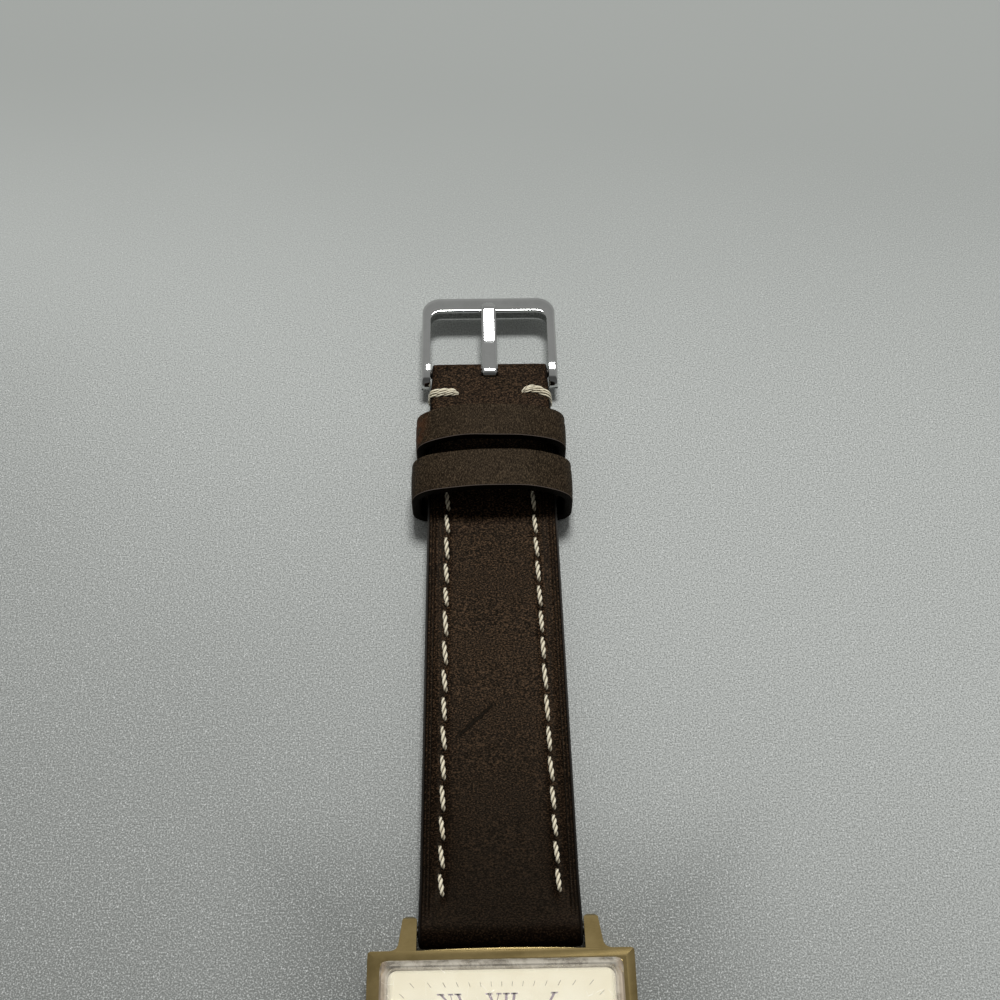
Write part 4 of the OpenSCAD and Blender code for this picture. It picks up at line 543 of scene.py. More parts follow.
def square_to(paths, helper=None):
    """Two directions square to each path at each of its points."""
    ahead = np.gradient(paths, axis=1)
    ahead /= np.linalg.norm(ahead, axis=2, keepdims=True)
    if helper is None:
        helper = np.where(np.abs(ahead[..., 2:]) > 0.9, [[[1.0, 0, 0]]], [[[0, 0, 1.0]]])
    side = np.cross(ahead, helper)
    side /= np.linalg.norm(side, axis=2, keepdims=True)
    return side, np.cross(side, ahead)


def threads(name, paths, away, turns, helper, thick, sides, body, node=None):
    """Two plies wound about each path, as closed tubes: away is how far a ply runs from the path and thick is its
    own radius, and both may change along it; rim grows towards the path, and the thread's material paints it as
    shade."""
    side, high = square_to(paths, helper)
    steps = paths.shape[1]
    along = np.linspace(0, 1, steps) * turns * 2 * np.pi
    away = np.broadcast_to(away, steps)[:, None]
    off = away * (np.cos(along)[:, None] * side + np.sin(along)[:, None] * high)
    plies = np.concatenate([paths + off, paths - off])
    side, high = square_to(plies)
    turn = np.linspace(0, 2 * np.pi, sides, endpoint=False)
    ring = side[:, :, None] * np.cos(turn)[:, None] + high[:, :, None] * np.sin(turn)[:, None]
    points = plies[:, :, None] + ring * np.broadcast_to(thick, steps)[:, None, None]
    index = np.arange(len(plies) * steps * sides).reshape(len(plies), steps, sides)
    around = np.roll(index, -1, axis=2)
    quads = np.stack([index[:, :-1], index[:, 1:], around[:, 1:], around[:, :-1]], -1).reshape(-1, 4)
    ends = np.concatenate([index[:, 0], index[:, -1]])
    gap = np.linalg.norm(points - np.concatenate([paths, paths])[:, :, None], axis=-1)
    piece(name, points, quads.tolist() + ends.tolist(), "thread", body, node, 1 - gap / gap.max())


def plates(name, corners, look):
    """Thin printed plates on the dial: four corners each in x and y."""
    count = len(corners)
    level = np.repeat([[[DIAL_TOP]] * 4 + [[DIAL_TOP + PRINT_T]] * 4], count, 0)
    points = np.concatenate([np.concatenate([corners, corners], 1), level], 2)
    faces = np.array([[3, 2, 1, 0], [4, 5, 6, 7], [0, 1, 5, 4], [1, 2, 6, 5], [2, 3, 7, 6], [3, 0, 4, 7]])
    index = (np.arange(count)[:, None, None] * 8 + faces).reshape(-1, 4)
    piece(name, points, index.tolist(), "hands", "root", smooth=False, look=look)


def quarter(count):
    """A quarter turn in even steps."""
    return np.linspace(0, np.pi / 2, count)


def hill(value, width):
    """1 at 0, falling to nothing on both sides."""
    return np.exp(-(value / width) ** 2)


def step(value, low, high):
    """0 below low, 1 above high, a smooth step between."""
    t = np.clip((value - low) / (high - low), 0, 1)
    return t * t * (3 - 2 * t)


class Half:
    """One strap half, drawn along s from its bar: widths, heights and stitches, and its place in the watch."""

    def __init__(self, side, length, tip, gaps, seams):
        self.side, self.length, self.tip, self.seams = side, length, tip, seams
        self.rows = [(sign, gap[:-1] + GAP_HALF, np.diff(gap) - 2 * GAP_HALF) for sign, gap in zip((-1, 1), gaps)]
        self.last = max(gap[-2] for gap in gaps)
        self.bend = length - (tip or LOOP_NECK)
        self.tilt = 0.0 if tip == 0 else np.arcsin((BAR_Z - ROLL_R) / (length - 3))

    def half_width(self, s):
        """Straight taper, then a rounded point over the tip's length or a short neck down to the buckle's loop."""
        straight = (STRAP_W - (STRAP_W - STRAP_END_W) * np.clip(s / self.bend, 0, 1)) / 2
        if self.tip == 0:
            return straight - (STRAP_END_W - LOOP_W) / 2 * step(s, self.bend, self.length - 0.3)
        share = np.clip((s - self.length + self.tip) / self.tip, 0, 1)
        return straight * np.maximum(1 - share ** 2.2, 0.001)

    def middle_top(self, s):
        """Height of the padded middle over the bar's axis, thinning past the padding."""
        high, thin = STRAP_T - ROLL_R, STRAP_THIN_T - ROLL_R
        knots = [0, PADDING_START, PADDING_LEN * 0.3, PADDING_LEN * 0.6, PADDING_LEN, PADDING_LEN + PADDING_FADE]
        return np.interp(s, knots, [high, high, high - 0.2, (high + thin) / 2, thin + 0.08, thin])

    def stitch_x(self, s, side):
        """Distance of a seam from the middle: a straight line for each side."""
        first, last, reach = self.seams[0 if side < 0 else 1]
        return first + (last - first) * s / reach

    def creased(self, s):
        """How deep the crease lines are: full between the bar and the end of the straight taper."""
        return step(s, 0.5, 3.0) * (1 - step(s, self.bend - 5.0, self.bend - 1.5))

    def top(self, s, x):
        """Middle height less the crown towards the edges, less the seam's groove, crease lines and stitch dimples."""
        half = self.half_width(s)
        reach = np.clip(np.abs(x) / (STRAP_W / 2), 0, 1)
        crown = (STRAP_T - EDGE_T) * reach ** 3.5
        crowned = STRAP_T - ROLL_R - crown * step(s, -1.0, 7.0)
        middle = self.middle_top(s)
        soft = 0.18
        z = -soft * np.log(np.exp(-middle / soft) + np.exp(-crowned / soft))
        seam = np.abs(x) - np.where(x < 0, self.stitch_x(s, -1), self.stitch_x(s, 1))
        window = step(s, 1.5, 4.0) * step(self.last + 3.0 - s, 0, 2.0)
        z = z - SEAM_DEPTH * hill(seam, 0.45) * window
        for inset in CREASES:
            z = z - CREASE_DEPTH * hill(np.abs(x) - half + inset, 0.09) * self.creased(s)
        for sign, starts, lengths in self.rows:
            holes = np.concatenate([starts, starts + lengths])
            near = np.abs(s[:, :1] - holes[None, :]).argmin(1)
            centre = holes[near][:, None]
            z = z - DIMPLE_DEPTH * np.exp(-((s - centre) ** 2 + (x - sign * self.stitch_x(s, sign)) ** 2) / 0.12)
        return z

    def place(self, x, s, z):
        """To the watch's frame: the buckle half runs along +y; the tail half is mirrored and tilted to its tip."""
        if self.tip == 0:
            return np.stack([x, BAR_Y + s, BAR_Z + z], -1)
        c, t = np.cos(self.tilt), np.sin(self.tilt)
        return np.stack([x, -BAR_Y - s * c - z * t, BAR_Z - s * t + z * c], -1)


buckle_half = Half("buckle", BUCKLE_LEN, 0.0, (LEFT_GAPS, RIGHT_GAPS), ((6.45, 5.72, 52.0), (6.52, 5.3, 52.0)))
tail_half = Half("tail", TAIL_LEN, TIP_LEN, (TAIL_GAPS, TAIL_GAPS), ((6.35, 5.55, 106.0), (6.35, 5.55, 106.0)))


def arc(centre_s, centre_z, radius, start, stop, count):
    turn = np.radians(np.linspace(start, stop, count))
    return centre_s + radius * np.cos(turn), centre_z + radius * np.sin(turn)


def rounding(share, start):
    """A quarter circle from 0 at the share of the half width where an edge starts to 1 at the edge."""
    return 1 - np.sqrt(np.maximum(1 - np.clip((np.abs(share) - start) / (1 - start), 0, 1) ** 2, 0))


def to_bore(s, z, centre_s, centre_z, radius, near):
    """Heights moved on to a bore's circle, where near says so."""
    reach = np.sqrt(np.maximum(radius ** 2 - (s - centre_s) ** 2, 0))
    return np.where(near, centre_z + np.sign(z - centre_z) * reach, z)


def past_holes(low, high, spacing, lines, margin):
    """Even steps along the tail half with a hole's own lines in place of the steps near them, and a rounded tip."""
    lines = np.concatenate([h + lines for h in HOLES])
    along = np.arange(low, high - TIP_LEN, spacing)
    along = along[np.abs(along[:, None] - lines[None]).min(1) > margin]
    tip = high - TIP_LEN * (1 - np.sin(quarter(26)))
    return along, lines, tip


def punched(s, share, width, grid_s, x, kept):
    """Drops the square of cells at each hole and pulls the lines about it to a circle; gap is each point's distance
    from its hole before that, or a long one."""
    gap = np.full_like(x, 99.0)
    for hole in HOLES:
        ds = grid_s - hole
        block = np.maximum(np.abs(ds), np.abs(x) * HOLE_WIDTH / width[:, None])
        ring = np.hypot(ds, x) + 1e-9
        pulled = 1 + (block / ring - 1) * np.clip((2 * HOLE_R - block) / HOLE_R, 0, 1)
        near = block < 2 * HOLE_R
        gap = np.where(near, ring, gap)
        grid_s, x = np.where(near, hole + ds * pulled, grid_s), np.where(near, x * pulled, x)
        cell = (np.abs((s[:-1] + s[1:]) / 2 - hole) < HOLE_R)[:, None]
        kept[cell & (np.abs((share[:-1] + share[1:]) / 2) < HOLE_R / HOLE_WIDTH)[None]] = False
    return grid_s, x, gap


def side_path(half):
    """The outer and inner side lines: under the lug bar, round it, along the top and, on the buckle half, round the
    buckle bar and back; and where the top's rows start and stop."""
    low, end, lift = -ROLL_R, half.length, BUCKLE_BAR_Z - BAR_Z
    if half.tip:
        along, lines, tip = past_holes(0.2, end, 0.3, HOLE_LINES, 0.1)
        along = np.unique(np.round(np.concatenate([along, lines, tip[:-1], [end - 0.002]]), 4))
    else:
        along = np.unique(np.round(np.append(np.arange(0.2, end - 0.1, 0.3), end - SLOT_LEN), 3))
    inner_top = np.where(along < PADDING_START + 0.05, FOLD_GAP, low + LINING_T)
    stretches = [(np.linspace(PADDING_START, 0.4, UNDER_ROWS), low,
                  np.linspace(PADDING_START, LUG_BORE * 0.8, UNDER_ROWS), -FOLD_GAP),
                 (*arc(0, 0, ROLL_R, 270, 100, LUG_ROWS), *arc(0, 0, LUG_BORE, 262, 100, LUG_ROWS)),
                 (along, ROLL_R, along, inner_top)]
    if not half.tip:
        inner_top[along > end - FOLD_LEN - 0.05] = lift + FOLD_GAP
        fold = np.sort(np.append(np.linspace(0.3, FOLD_LEN, 8), SLOT_LEN))
        stretches += [(*arc(end, lift, LOOP_R, 84, -90, LOOP_ROWS), *arc(end, lift, BUCKLE_BORE, 84, -82, LOOP_ROWS)),
                      (end - fold, low, end - np.maximum(fold, 0.6), lift - FOLD_GAP)]
    s, z, inner_s, inner_z = np.concatenate([np.broadcast_arrays(*stretch) for stretch in stretches], 1)
    first = UNDER_ROWS + LUG_ROWS
    near = (inner_s > -0.01) & (inner_s < LUG_BORE) & (np.abs(inner_z) < LUG_BORE)
    inner_z = to_bore(inner_s, inner_z, 0, 0, LUG_BORE, near)
    if not half.tip:
        from_axis = end - inner_s
        near = (from_axis > -0.01) & (from_axis < BUCKLE_BORE) & (np.arange(len(s)) > first + LOOP_ROWS)
        inner_z = to_bore(inner_s, inner_z, end, lift, BUCKLE_BORE, near)
    return s, z, inner_s, inner_z, first, first + len(along)


def leather_shares(half):
    """Shares of the half width from -1 to 1: close lines near the edges and the seam, and lines at the sides of the
    slot or the holes."""
    side = np.concatenate([np.linspace(0, 0.62, 16), np.linspace(0.64, 0.84, 9), np.linspace(0.85, 0.965, 14),
                           1 - 0.03 * (1 - np.sin(quarter(6)))])
    share = np.concatenate([-side[::-1], side[1:]])
    if half.tip:
        return np.sort(np.concatenate([share[np.abs(share) > 0.25], HOLE_LINES / HOLE_WIDTH]))
    slot = SLOT_HALF / (LOOP_W / 2)
    nearest = np.abs(np.abs(share) - slot).argmin()
    share[nearest] = np.sign(share[nearest]) * slot
    share[len(share) - 1 - nearest] = -share[nearest]
    return share


def strap_leather(half):
    """The top leather as a slab along the side path. The outer skin is the path less crown and grooves; the tail
    half has its holes, the buckle half a slot with round corners."""
    s, z, inner_s, inner_z, first, last = side_path(half)
    share = leather_shares(half)
    end = half.length
    width = half.half_width(s)
    x = width[:, None] * share[None]
    grid_s, outer_z, inner_grid_s, inner_z = (np.repeat(line[:, None], len(share), 1)
                                              for line in (s, z, inner_s, inner_z))
    outer_z[first:last] = half.top(grid_s[first:last], x[first:last])
    sink = half.top(np.full((1, len(share)), 0.2), x[first:first + 1]) - ROLL_R
    outer_z[UNDER_ROWS:first] += sink * step(np.linspace(0, 1, LUG_ROWS), 0.5, 1.0)[:, None]
    if not half.tip:
        loop_top = BUCKLE_BAR_Z - BAR_Z + LOOP_R
        sink = half.top(np.full((1, len(share)), end - 0.2), x[last - 1:last]) - loop_top
        fade = 1 - step(np.linspace(0, 1, LOOP_ROWS), 0.0, 0.5)[:, None]
        outer_z[last:last + LOOP_ROWS] += np.minimum(sink, 0.0) * fade
    normal_s, normal_z = np.gradient(z), -np.gradient(s)
    length = np.hypot(normal_s, normal_z) + 1e-9
    round_off = EDGE_ROUND * rounding(share, EDGE_SHARE)
    outer_s = grid_s + np.outer(normal_s / length, round_off)
    outer_z = outer_z + np.outer(normal_z / length, round_off)
    kept = np.ones((len(s) - 1, len(share) - 1), bool)
    if half.tip:
        pulled_s, x, gap = punched(s, share, width, grid_s, x, kept)
        outer_s, inner_grid_s = outer_s + pulled_s - grid_s, inner_grid_s + pulled_s - grid_s
        outer_z = outer_z - 0.2 * hill(gap - HOLE_R, 0.28)
        dark = hill(gap - HOLE_R, 0.3) * 0.7
    else:
        middle = np.abs(share[:-1] + share[1:]) / 2 < SLOT_HALF / (LOOP_W / 2)
        rows = ((s[:-1] + s[1:]) / 2 > end - SLOT_LEN) & (np.arange(len(s) - 1) >= first)
        kept[np.ix_(rows, middle)] = False
        corner = np.clip((np.abs(x) - SLOT_HALF + SLOT_CORNER) / SLOT_CORNER, 0, 1)
        bow = SLOT_CORNER * (1 - np.sqrt(1 - corner ** 2)) * (np.abs(x) < SLOT_HALF + 0.01)
        pull = step(grid_s, end - SLOT_LEN - 1.5, end - SLOT_LEN) * (grid_s <= end - SLOT_LEN + 1e-6)
        outer_s, inner_grid_s = outer_s + bow * pull, inner_grid_s + bow * pull
        dark = 0.08 * (1 - step(np.abs(grid_s - end), 1.0, 2.0))
    inset = width[:, None] - np.abs(x)
    worked = 1 - step(inset, 0.1, 0.55)
    if not half.tip:
        worked = worked * (1 - 0.7 * step(grid_s, end - 9.0, end - 5.0))
    lines = sum(hill(inset - at, 0.1) for at in CREASES)
    # crease lines get rim 0.4, which the strap's material paints in its dark corner line colour: painted shade in the
    # creases
    rim = np.maximum(np.maximum(worked, dark), 0.4 * lines * half.creased(grid_s))
    slab(f"{half.side}_half_leather", half.place(x, outer_s, outer_z), half.place(x, inner_grid_s, inner_z), kept,
         "strap_leather", f"{half.side}_strap", f"{half.side}_strap_leather", np.stack([rim, np.ones_like(rim)]))


def strap_lining(half):
    """A thin flat slab under the strap, with the top leather's outline a little inside it, and its holes."""
    start = PADDING_START + 0.06
    stop = half.length - (0.004 if half.tip else FOLD_LEN)
    if half.tip:
        s = np.unique(np.round(np.concatenate(past_holes(start, stop, 0.6, LINING_HOLE_LINES, 0.15)), 4))
    else:
        s = np.linspace(start, stop, 120)
    side = np.concatenate([np.linspace(0.3, 0.95, 10), 1 - 0.04 * (1 - np.sin(quarter(5)))])
    share = np.concatenate([-side[::-1], LINING_HOLE_LINES / HOLE_WIDTH, side])
    width = half.half_width(s) - 0.03
    x = width[:, None] * share[None]
    grid_s = np.repeat(s[:, None], len(share), 1)
    kept = np.ones((len(s) - 1, len(share) - 1), bool)
    if half.tip:
        grid_s, x, _ = punched(s, share, width, grid_s, x, kept)
    bottom = np.full_like(x, -ROLL_R) + 0.25 * rounding(share, 0.96)[None]
    for sign, _, _ in half.rows:
        seam = x - sign * half.stitch_x(grid_s, sign)
        bottom = bottom + 0.05 * hill(seam, 0.3) * step(half.last + 3.0 - grid_s, 0, 2.0)
    rim = np.broadcast_to(step(np.abs(share), 0.93, 0.99), x.shape)
    inner = half.place(x, grid_s, np.full_like(x, -ROLL_R + LINING_T - 0.01))
    slab(f"{half.side}_half_lining", half.place(x, grid_s, bottom), inner, kept, "lining_leather",
         f"{half.side}_strap", f"{half.side}_strap_lining", np.stack([rim, rim]))


def stitching(half):
    """Each stitch climbs out of its hole, lies along the seam a little slanted, and dives into the next hole; on
    the lining it does the same upside down."""
    paths = []
    t = np.linspace(0, 1, 19)
    for sign, starts, lengths in half.rows:
        lean = (0.24 if sign < 0 else 0.1) + rng.uniform(-0.06, 0.06, len(starts))[:, None]
        lengths = lengths[:, None]
        s = starts[:, None] + lengths * (0.5 - 0.5 * np.cos(np.pi * t))[None]
        x = sign * half.stitch_x(s, sign) - lean * (2 * t - 1)[None]
        lift = 0.40 * np.sin(np.pi * t)[None] ** 0.5 - 0.16
        paths.append(half.place(x, s, half.top(s, x) + lift))
        gap = np.diff(np.append(starts, starts[-1] + 3.5))[:, None]
        s = starts[:, None] + lengths + (gap - lengths) * 0.5 + (gap - 0.9) * (t - 0.5)[None]
        x = sign * half.stitch_x(s, sign)
        under = -ROLL_R + 0.32 - 0.08 * np.sin(np.pi * t)[None] ** 0.5 + 0 * s
        paths.append(half.place(x, s, under)[:-1])
    paths = np.concatenate(paths)
    spindle = np.sin(np.pi * np.clip(t, 0.05, 0.95)) ** 0.5
    threads(f"{half.side}_half_thread", paths, PLY_AWAY * spindle, -2.3, [0.0, 0.0, 1.0], PLY_R * spindle, 8,
            f"{half.side}_strap", f"{half.side}_strap_stitching")


def edge_tacks():
    """Four strands heaped on each edge by the buckle: they rise from a hole, lie across the top in a slight arch,
    run over the edge and come back underneath."""
    half, at = buckle_half, TACK_Y - BAR_Y
    t = np.linspace(0, 1, 56)
    heap = ((-0.42, 0.02), (-0.16, 0.2), (0.14, 0.22), (0.4, 0.03))
    paths = []
    for sign, inner, arch, turned_in in ((-1, 4.2, 0.05, 0.05), (1, 4.25, 0.65, -0.45)):
        for k, (aside, above) in enumerate(heap):
            s0 = at + aside
            reach = half.half_width(np.array([s0]))[0] + 0.14
            top_z = float(half.top(np.array([[s0]]), np.array([[6.3]]))[0, 0]) + 0.13 + above
            low_z = -ROLL_R + 0.04
            turn = np.clip((t - 0.42) / 0.2, 0, 1) * np.pi
            mid, rise = (top_z + low_z) / 2, (top_z - low_z) / 2
            over = reach - 0.75 - inner
            beyond = inner + over + 0.75 * np.sin(turn) ** 0.6
            back = np.where(t > 0.62, inner + over * (1 - (t - 0.62) / 0.38), beyond)
            x = np.where(t < 0.42, inner + over * t / 0.42, back)
            z = mid + rise * np.cos(turn)
            out = np.clip((x - inner) / (reach - inner), 0, 1)
            z = z - 0.35 * out ** 3 * (t < 0.5)
            dive = np.minimum(t / 0.07, (1 - t) / 0.07)
            z = z + np.where(t < 0.5, -1, 1) * (0.45 + above) * np.clip(1 - dive, 0, 1) ** 1.5
            bow = arch * np.sin(np.pi * out ** 0.8) + turned_in * out
            gather = np.clip(dive / 1.4, 0.4, 1)
            s = at + aside * gather + bow + 0.05 * np.sin(t * 11 + 1.7 * k)
            paths.append(half.place(sign * x, s, z))
    threads("edge_tack_threads", np.array(paths), TACK_AWAY, 3.5, [0.0, 1.0, 0.0], TACK_R, 7, "buckle_strap")


def rounded_loop(low, high, left, right, r, corner=5, gap=0.5):
    """A rectangle with round corners as one closed line of (first, second) points, with points along its sides."""
    sides = []
    for cx, cy, start in ((high - r, right - r, 0), (low + r, right - r, 1), (low + r, left + r, 2),
                          (high - r, left + r, 3)):
        turn = quarter(corner) + start * np.pi / 2
        sides.append(np.stack([cx + r * np.cos(turn), cy + r * np.sin(turn)], 1))
    points = []
    for k, side in enumerate(sides):
        following = sides[(k + 1) % 4][0]
        count = max(2, int(np.linalg.norm(following - side[-1]) / gap) + 1)
        run = np.linspace(0, 1, count, endpoint=False)[1:, None]
        points += [side, side[-1] * (1 - run) + following * run]
    return np.concatenate(points)


def band_line(width, height, foot):
    """Outline of a keeper from its arch, a power of the circle, to its flat foot with round corners."""
    turn = np.linspace(0, np.pi, 150)
    c, s = np.cos(turn), np.sin(turn)
    x = width / 2 * np.sign(c) * np.abs(c) ** (2 / KEEPER_ARCH)
    z = height / 2 + height / 2 * np.maximum(s, 0) ** (2 / KEEPER_ARCH)
    turn = quarter(12) + np.pi
    left = np.stack([foot - width / 2 + foot * np.cos(turn), foot + foot * np.sin(turn)], 1)
    flat = np.stack([np.linspace(foot - width / 2, width / 2 - foot, 60)[1:-1], np.zeros(58)], 1)
    right = left[::-1] * [-1, 1]
    return np.concatenate([np.stack([x, z], 1), left, flat, right])


def keeper(name, node, body, width, height, middle, length, seam_x):
    """A leather band: its section is a bar with round corners, creased along both edges, carried round the
    outline and lapped on its underside; the front corner carries a pale line of painted highlight before the dark cut
    face."""
    x, z = band_line(width, height, KEEPER_FOOT).T
    z = z + 0.05 * np.sin(x * 0.9 + middle) * (z > height / 2)
    dx, dz = np.roll(x, -1) - np.roll(x, 1), np.roll(z, -1) - np.roll(z, 1)
    size = np.hypot(dx, dz)
    depth, along = rounded_loop(0, KEEPER_T, -length / 2, length / 2, 0.3, 7).T
    crease = 0.06 * hill(np.abs(along) - length / 2 + 0.75, 0.12) * (depth < 0.05)
    bulge = 0.07 * (np.abs(along) / (length / 2)) ** 2 * (depth < 0.05)
    # rim ramps across the front corner, where the material paints a pale line of painted highlight, then the cut face
    # in its dark colour; at the back it steps straight to the cut face
    rim = np.where(along < 0, step(depth, 0.0, 0.2), step(depth, 0.2, 0.3))
    depth = depth + crease + bulge
    wander = 0.06 * np.sin(x * 0.5 + 2 * middle)[:, None]
    points = np.stack([x[:, None] - np.outer(dz / size, depth), middle + along[None] + wander,
                       z[:, None] + np.outer(dx / size, depth)], -1)
    lap = hill(x - seam_x, 0.1) * (z < 0.1)
    points[..., 2] += 0.08 * lap[:, None] * (depth < 0.4)
    rims = np.broadcast_to(rim, points.shape[:2])
    piece(name, points, lofted(points.shape[:2], True), "keeper_leather", body, node, rims)


def buckle_frame():
    """A section between an inner and an outer line that run up one arm, round both corners and down the other: a
    flat top, a narrow facet that leans inwards, a rounded outer edge. The top falls before the arm's round end."""
    start = BUCKLE_Y - ARM_END
    up = start + ARM_END * (1 - np.cos(quarter(16)))
    rise = np.linspace(0, 1, 22)[1:]
    turn = quarter(16)[1:]
    bar = np.linspace(1, 0, 24)[1:]

    def line(half, end, radius):
        arm_end = end - radius
        arm = np.concatenate([up, up[-1] + (arm_end - up[-1]) * rise])
        x = np.concatenate([np.full(len(arm), half), half - radius + radius * np.cos(turn), (half - radius) * bar])
        y = np.concatenate([arm, arm_end + radius * np.sin(turn), np.full(len(bar), end)])
        return np.concatenate([np.stack([x, y], 1), np.stack([-x, y], 1)[-2::-1]])

    outer = line(FRAME_HALF, FRAME_Y, FRAME_CORNERS[0])
    inner = line(FRAME_HALF - ARM_W, FRAME_Y - FAR_BAR_W, FRAME_CORNERS[1])
    y = outer[:, 1:]
    fall = 0.065 * np.maximum(BUCKLE_Y + 1.4 - y, 0) ** 2
    end_top = 1.2 - np.sqrt(1.44 - np.clip(start + 1.2 - y, 0, 1.2) ** 2)
    end_low = 0.3 - np.sqrt(0.09 - np.clip(start + 0.3 - y, 0, 0.3) ** 2)
    high = FRAME_TOP - fall - end_top * 0.9
    low = np.interp(y, [BUCKLE_Y, BUCKLE_Y + 5, FRAME_Y], [1.5, 1.9, 1.8]) + end_low
    span = np.hypot(*(outer - inner).T)[:, None]
    k = np.clip(span / FAR_BAR_W, 0.45, 1)
    top_side = [(0.2, -1.35), (0.02, -0.36), (0.0, -0.25), (0.012, -0.17), (0.045, -0.1), (0.09, -0.052),
                (0.14, -0.024), (0.19, -0.009), (0.25, -0.001), (0.32, 0.0), (0.6, 0.0)]
    outer_side = [(0.86, 0.0), (0.62, -0.03), (0.38, -0.11), (0.18, -0.26), (0.05, -0.46), (0.0, -0.72)]
    a = [k * u for u, _ in top_side] + [span - k * u for u, _ in outer_side]
    z = [high + k * v for _, v in top_side + outer_side]
    a += [span, span - 0.08, span - 0.3 * k, 0.42 * k, 0.25 * k, 0.24 * k]
    z += [low + v for v in (0.3, 0.09, 0.0, 0.0, 0.12, 0.18)]
    a, z = np.concatenate(a, 1), np.maximum(np.concatenate(z, 1), low)
    plan = inner[:, None] + (outer - inner)[:, None] * (a / span)[..., None]
    piece("buckle_frame_polished", np.concatenate([plan, z[..., None]], -1), lofted(z.shape),
          "polished_steel", "buckle", "buckle_frame")


def buckle_tongue():
    """A strip between an upper and a lower side line: from under the bar round it, flat to the kink, up to the far
    bar and down to a round tip; its section has a flat top and rounded edges."""
    turn = np.radians(np.linspace(310, 90, 40))
    c, s = np.cos(turn), np.sin(turn)
    power = 2 / 2.4
    ring_y, ring_z = np.sign(c) * np.abs(c) ** power, np.sign(s) * np.abs(s) ** power
    top_y, top_z = BUCKLE_Y + TONGUE_RING[0] * ring_y, BUCKLE_BAR_Z + TONGUE_RING[1] * ring_z
    low_y, low_z = BUCKLE_Y + BUCKLE_BORE * c, BUCKLE_BAR_Z + BUCKLE_BORE * s
    end = FRAME_Y - TONGUE_TIP
    run = np.concatenate([np.linspace(BUCKLE_Y + 0.3, end - 1.0, 60), end - np.cos(quarter(16))[1:]])
    bar_edge = FRAME_Y - FAR_BAR_W
    kink = BUCKLE_Y + TONGUE_KINK
    upper = np.interp(run, [BUCKLE_Y, kink - 0.3, kink + 0.3, bar_edge - 0.25, bar_edge + 0.25, end - 0.7, end],
                      [4.0, 4.045, 4.08, 4.66, 4.66, 4.5, 4.34])
    lower = np.interp(run, [BUCKLE_Y, kink, bar_edge - 0.4, end], [3.45, 3.3, 3.85, 3.85])
    tip = np.clip(run - end + 1.0, 0, 1)
    width = np.sqrt(np.maximum(1 - tip ** 2, 0.0009))
    upper = lower + (upper - lower) * (1 - 0.55 * tip ** 3)
    ty, tz = np.append(top_y, run), np.append(top_z, upper)
    by, bz = np.append(low_y, run), np.append(low_z, lower)
    half = np.append(np.ones(len(turn)), width)
    side = np.array([(-1.0, 0.3), (-1.0, 0.55), (-0.97, 0.74), (-0.9, 0.88), (-0.78, 0.965), (-0.62, 1.0),
                     (-0.5, 1.0)])
    foot = np.array([(0.92, 0.08), (0.75, 0.0)])
    section = np.concatenate([side, side[::-1] * [-1, 1], foot, foot[::-1] * [-1, 1]])
    x, h = section.T
    rows = np.stack([np.outer(TONGUE_HALF * half, x), by[:, None] + np.outer(ty - by, h),
                     bz[:, None] + np.outer(tz - bz, h)], -1)
    piece("buckle_tongue_polished", rows, lofted(rows.shape[:2]), "polished_steel", "tongue", "buckle_tongue")


def dial_printing():
    """Minute marks on radial lines of a square track, and Roman numerals whose strokes run towards the centre:
    a point u across and v up a letter lies at height y = base + v, and at x = y * (u + place) / top."""
    angle = np.radians(6.0 * np.arange(60))
    heading = np.stack([np.sin(angle), np.cos(angle)], 1)
    square = np.abs(heading).max(1, keepdims=True)
    left = np.stack([-heading[:, 1], heading[:, 0]], 1)
    fives = (np.arange(60) % 5 == 0)[:, None]
    half = np.where(fives, 0.045, 0.032)
    inner, outer = heading * TRACK[0] / square, heading * TRACK[1] / square
    marks = np.stack([inner - left * half, outer - left * half, outer + left * half, inner + left * half], 1)
    plates("dial_minute_marks", marks[:, ::-1], "faint_print")
    thick, thin, serif = 0.17, 0.05, 0.06
    bars = {
        "I": (0.95, [(0, 0, 0, 1, thick), (0, 0, 0, serif, 0.4), (0, 0, 1 - serif, 1, 0.4)]),
        "V": (2.0, [(0.0, -0.62, 0, 1, thick), (0.08, 0.62, 0, 1, thin), (-0.62, -0.62, 1 - serif, 1, 0.42),
                    (0.62, 0.62, 1 - serif, 1, 0.34)]),
        "X": (2.0, [(0.6, -0.6, 0, 1, thick), (-0.6, 0.6, 0, 1, thin), (-0.6, -0.6, 1 - serif, 1, 0.42),
                    (0.6, 0.6, 1 - serif, 1, 0.3), (0.6, 0.6, 0, serif, 0.42), (-0.6, -0.6, 0, serif, 0.3)]),
    }
    shapes = []
    numerals = ["XII", "I", "II", "III", "IIII", "V", "VI", "VII", "VIII", "IX", "X", "XI"]
    for hour, text in enumerate(numerals):
        side, lean = divmod(hour + 1, 3)
        narrow = 0.86 if len(text) > 3 else 1.0
        total = sum(bars[letter][0] for letter in text) * narrow
        pen = -total / 2
        for letter in text:
            advance, strokes = bars[letter]
            middle = pen + advance * narrow / 2
            pen += advance * narrow
            for u0, u1, v0, v1, width in strokes:
                w = width * (narrow if width > 0.1 else 1)
                u = np.array([u0 - w, u0 + w, u1 + w, u1 - w]) * narrow
                v = np.array([v0, v0, v1, v1])
                y = NUMERALS[0] + (NUMERALS[1] - NUMERALS[0]) * v
                x = y * (0.88 * (middle + u) / NUMERALS[1] + (lean - 1) * np.tan(np.radians(30)))
                c, s = [(1, 0), (0, -1), (-1, 0), (0, 1)][side % 4]
                shapes.append(np.stack([x * c - y * s, x * s + y * c], 1))
    plates("dial_numerals", np.array(shapes), "print")


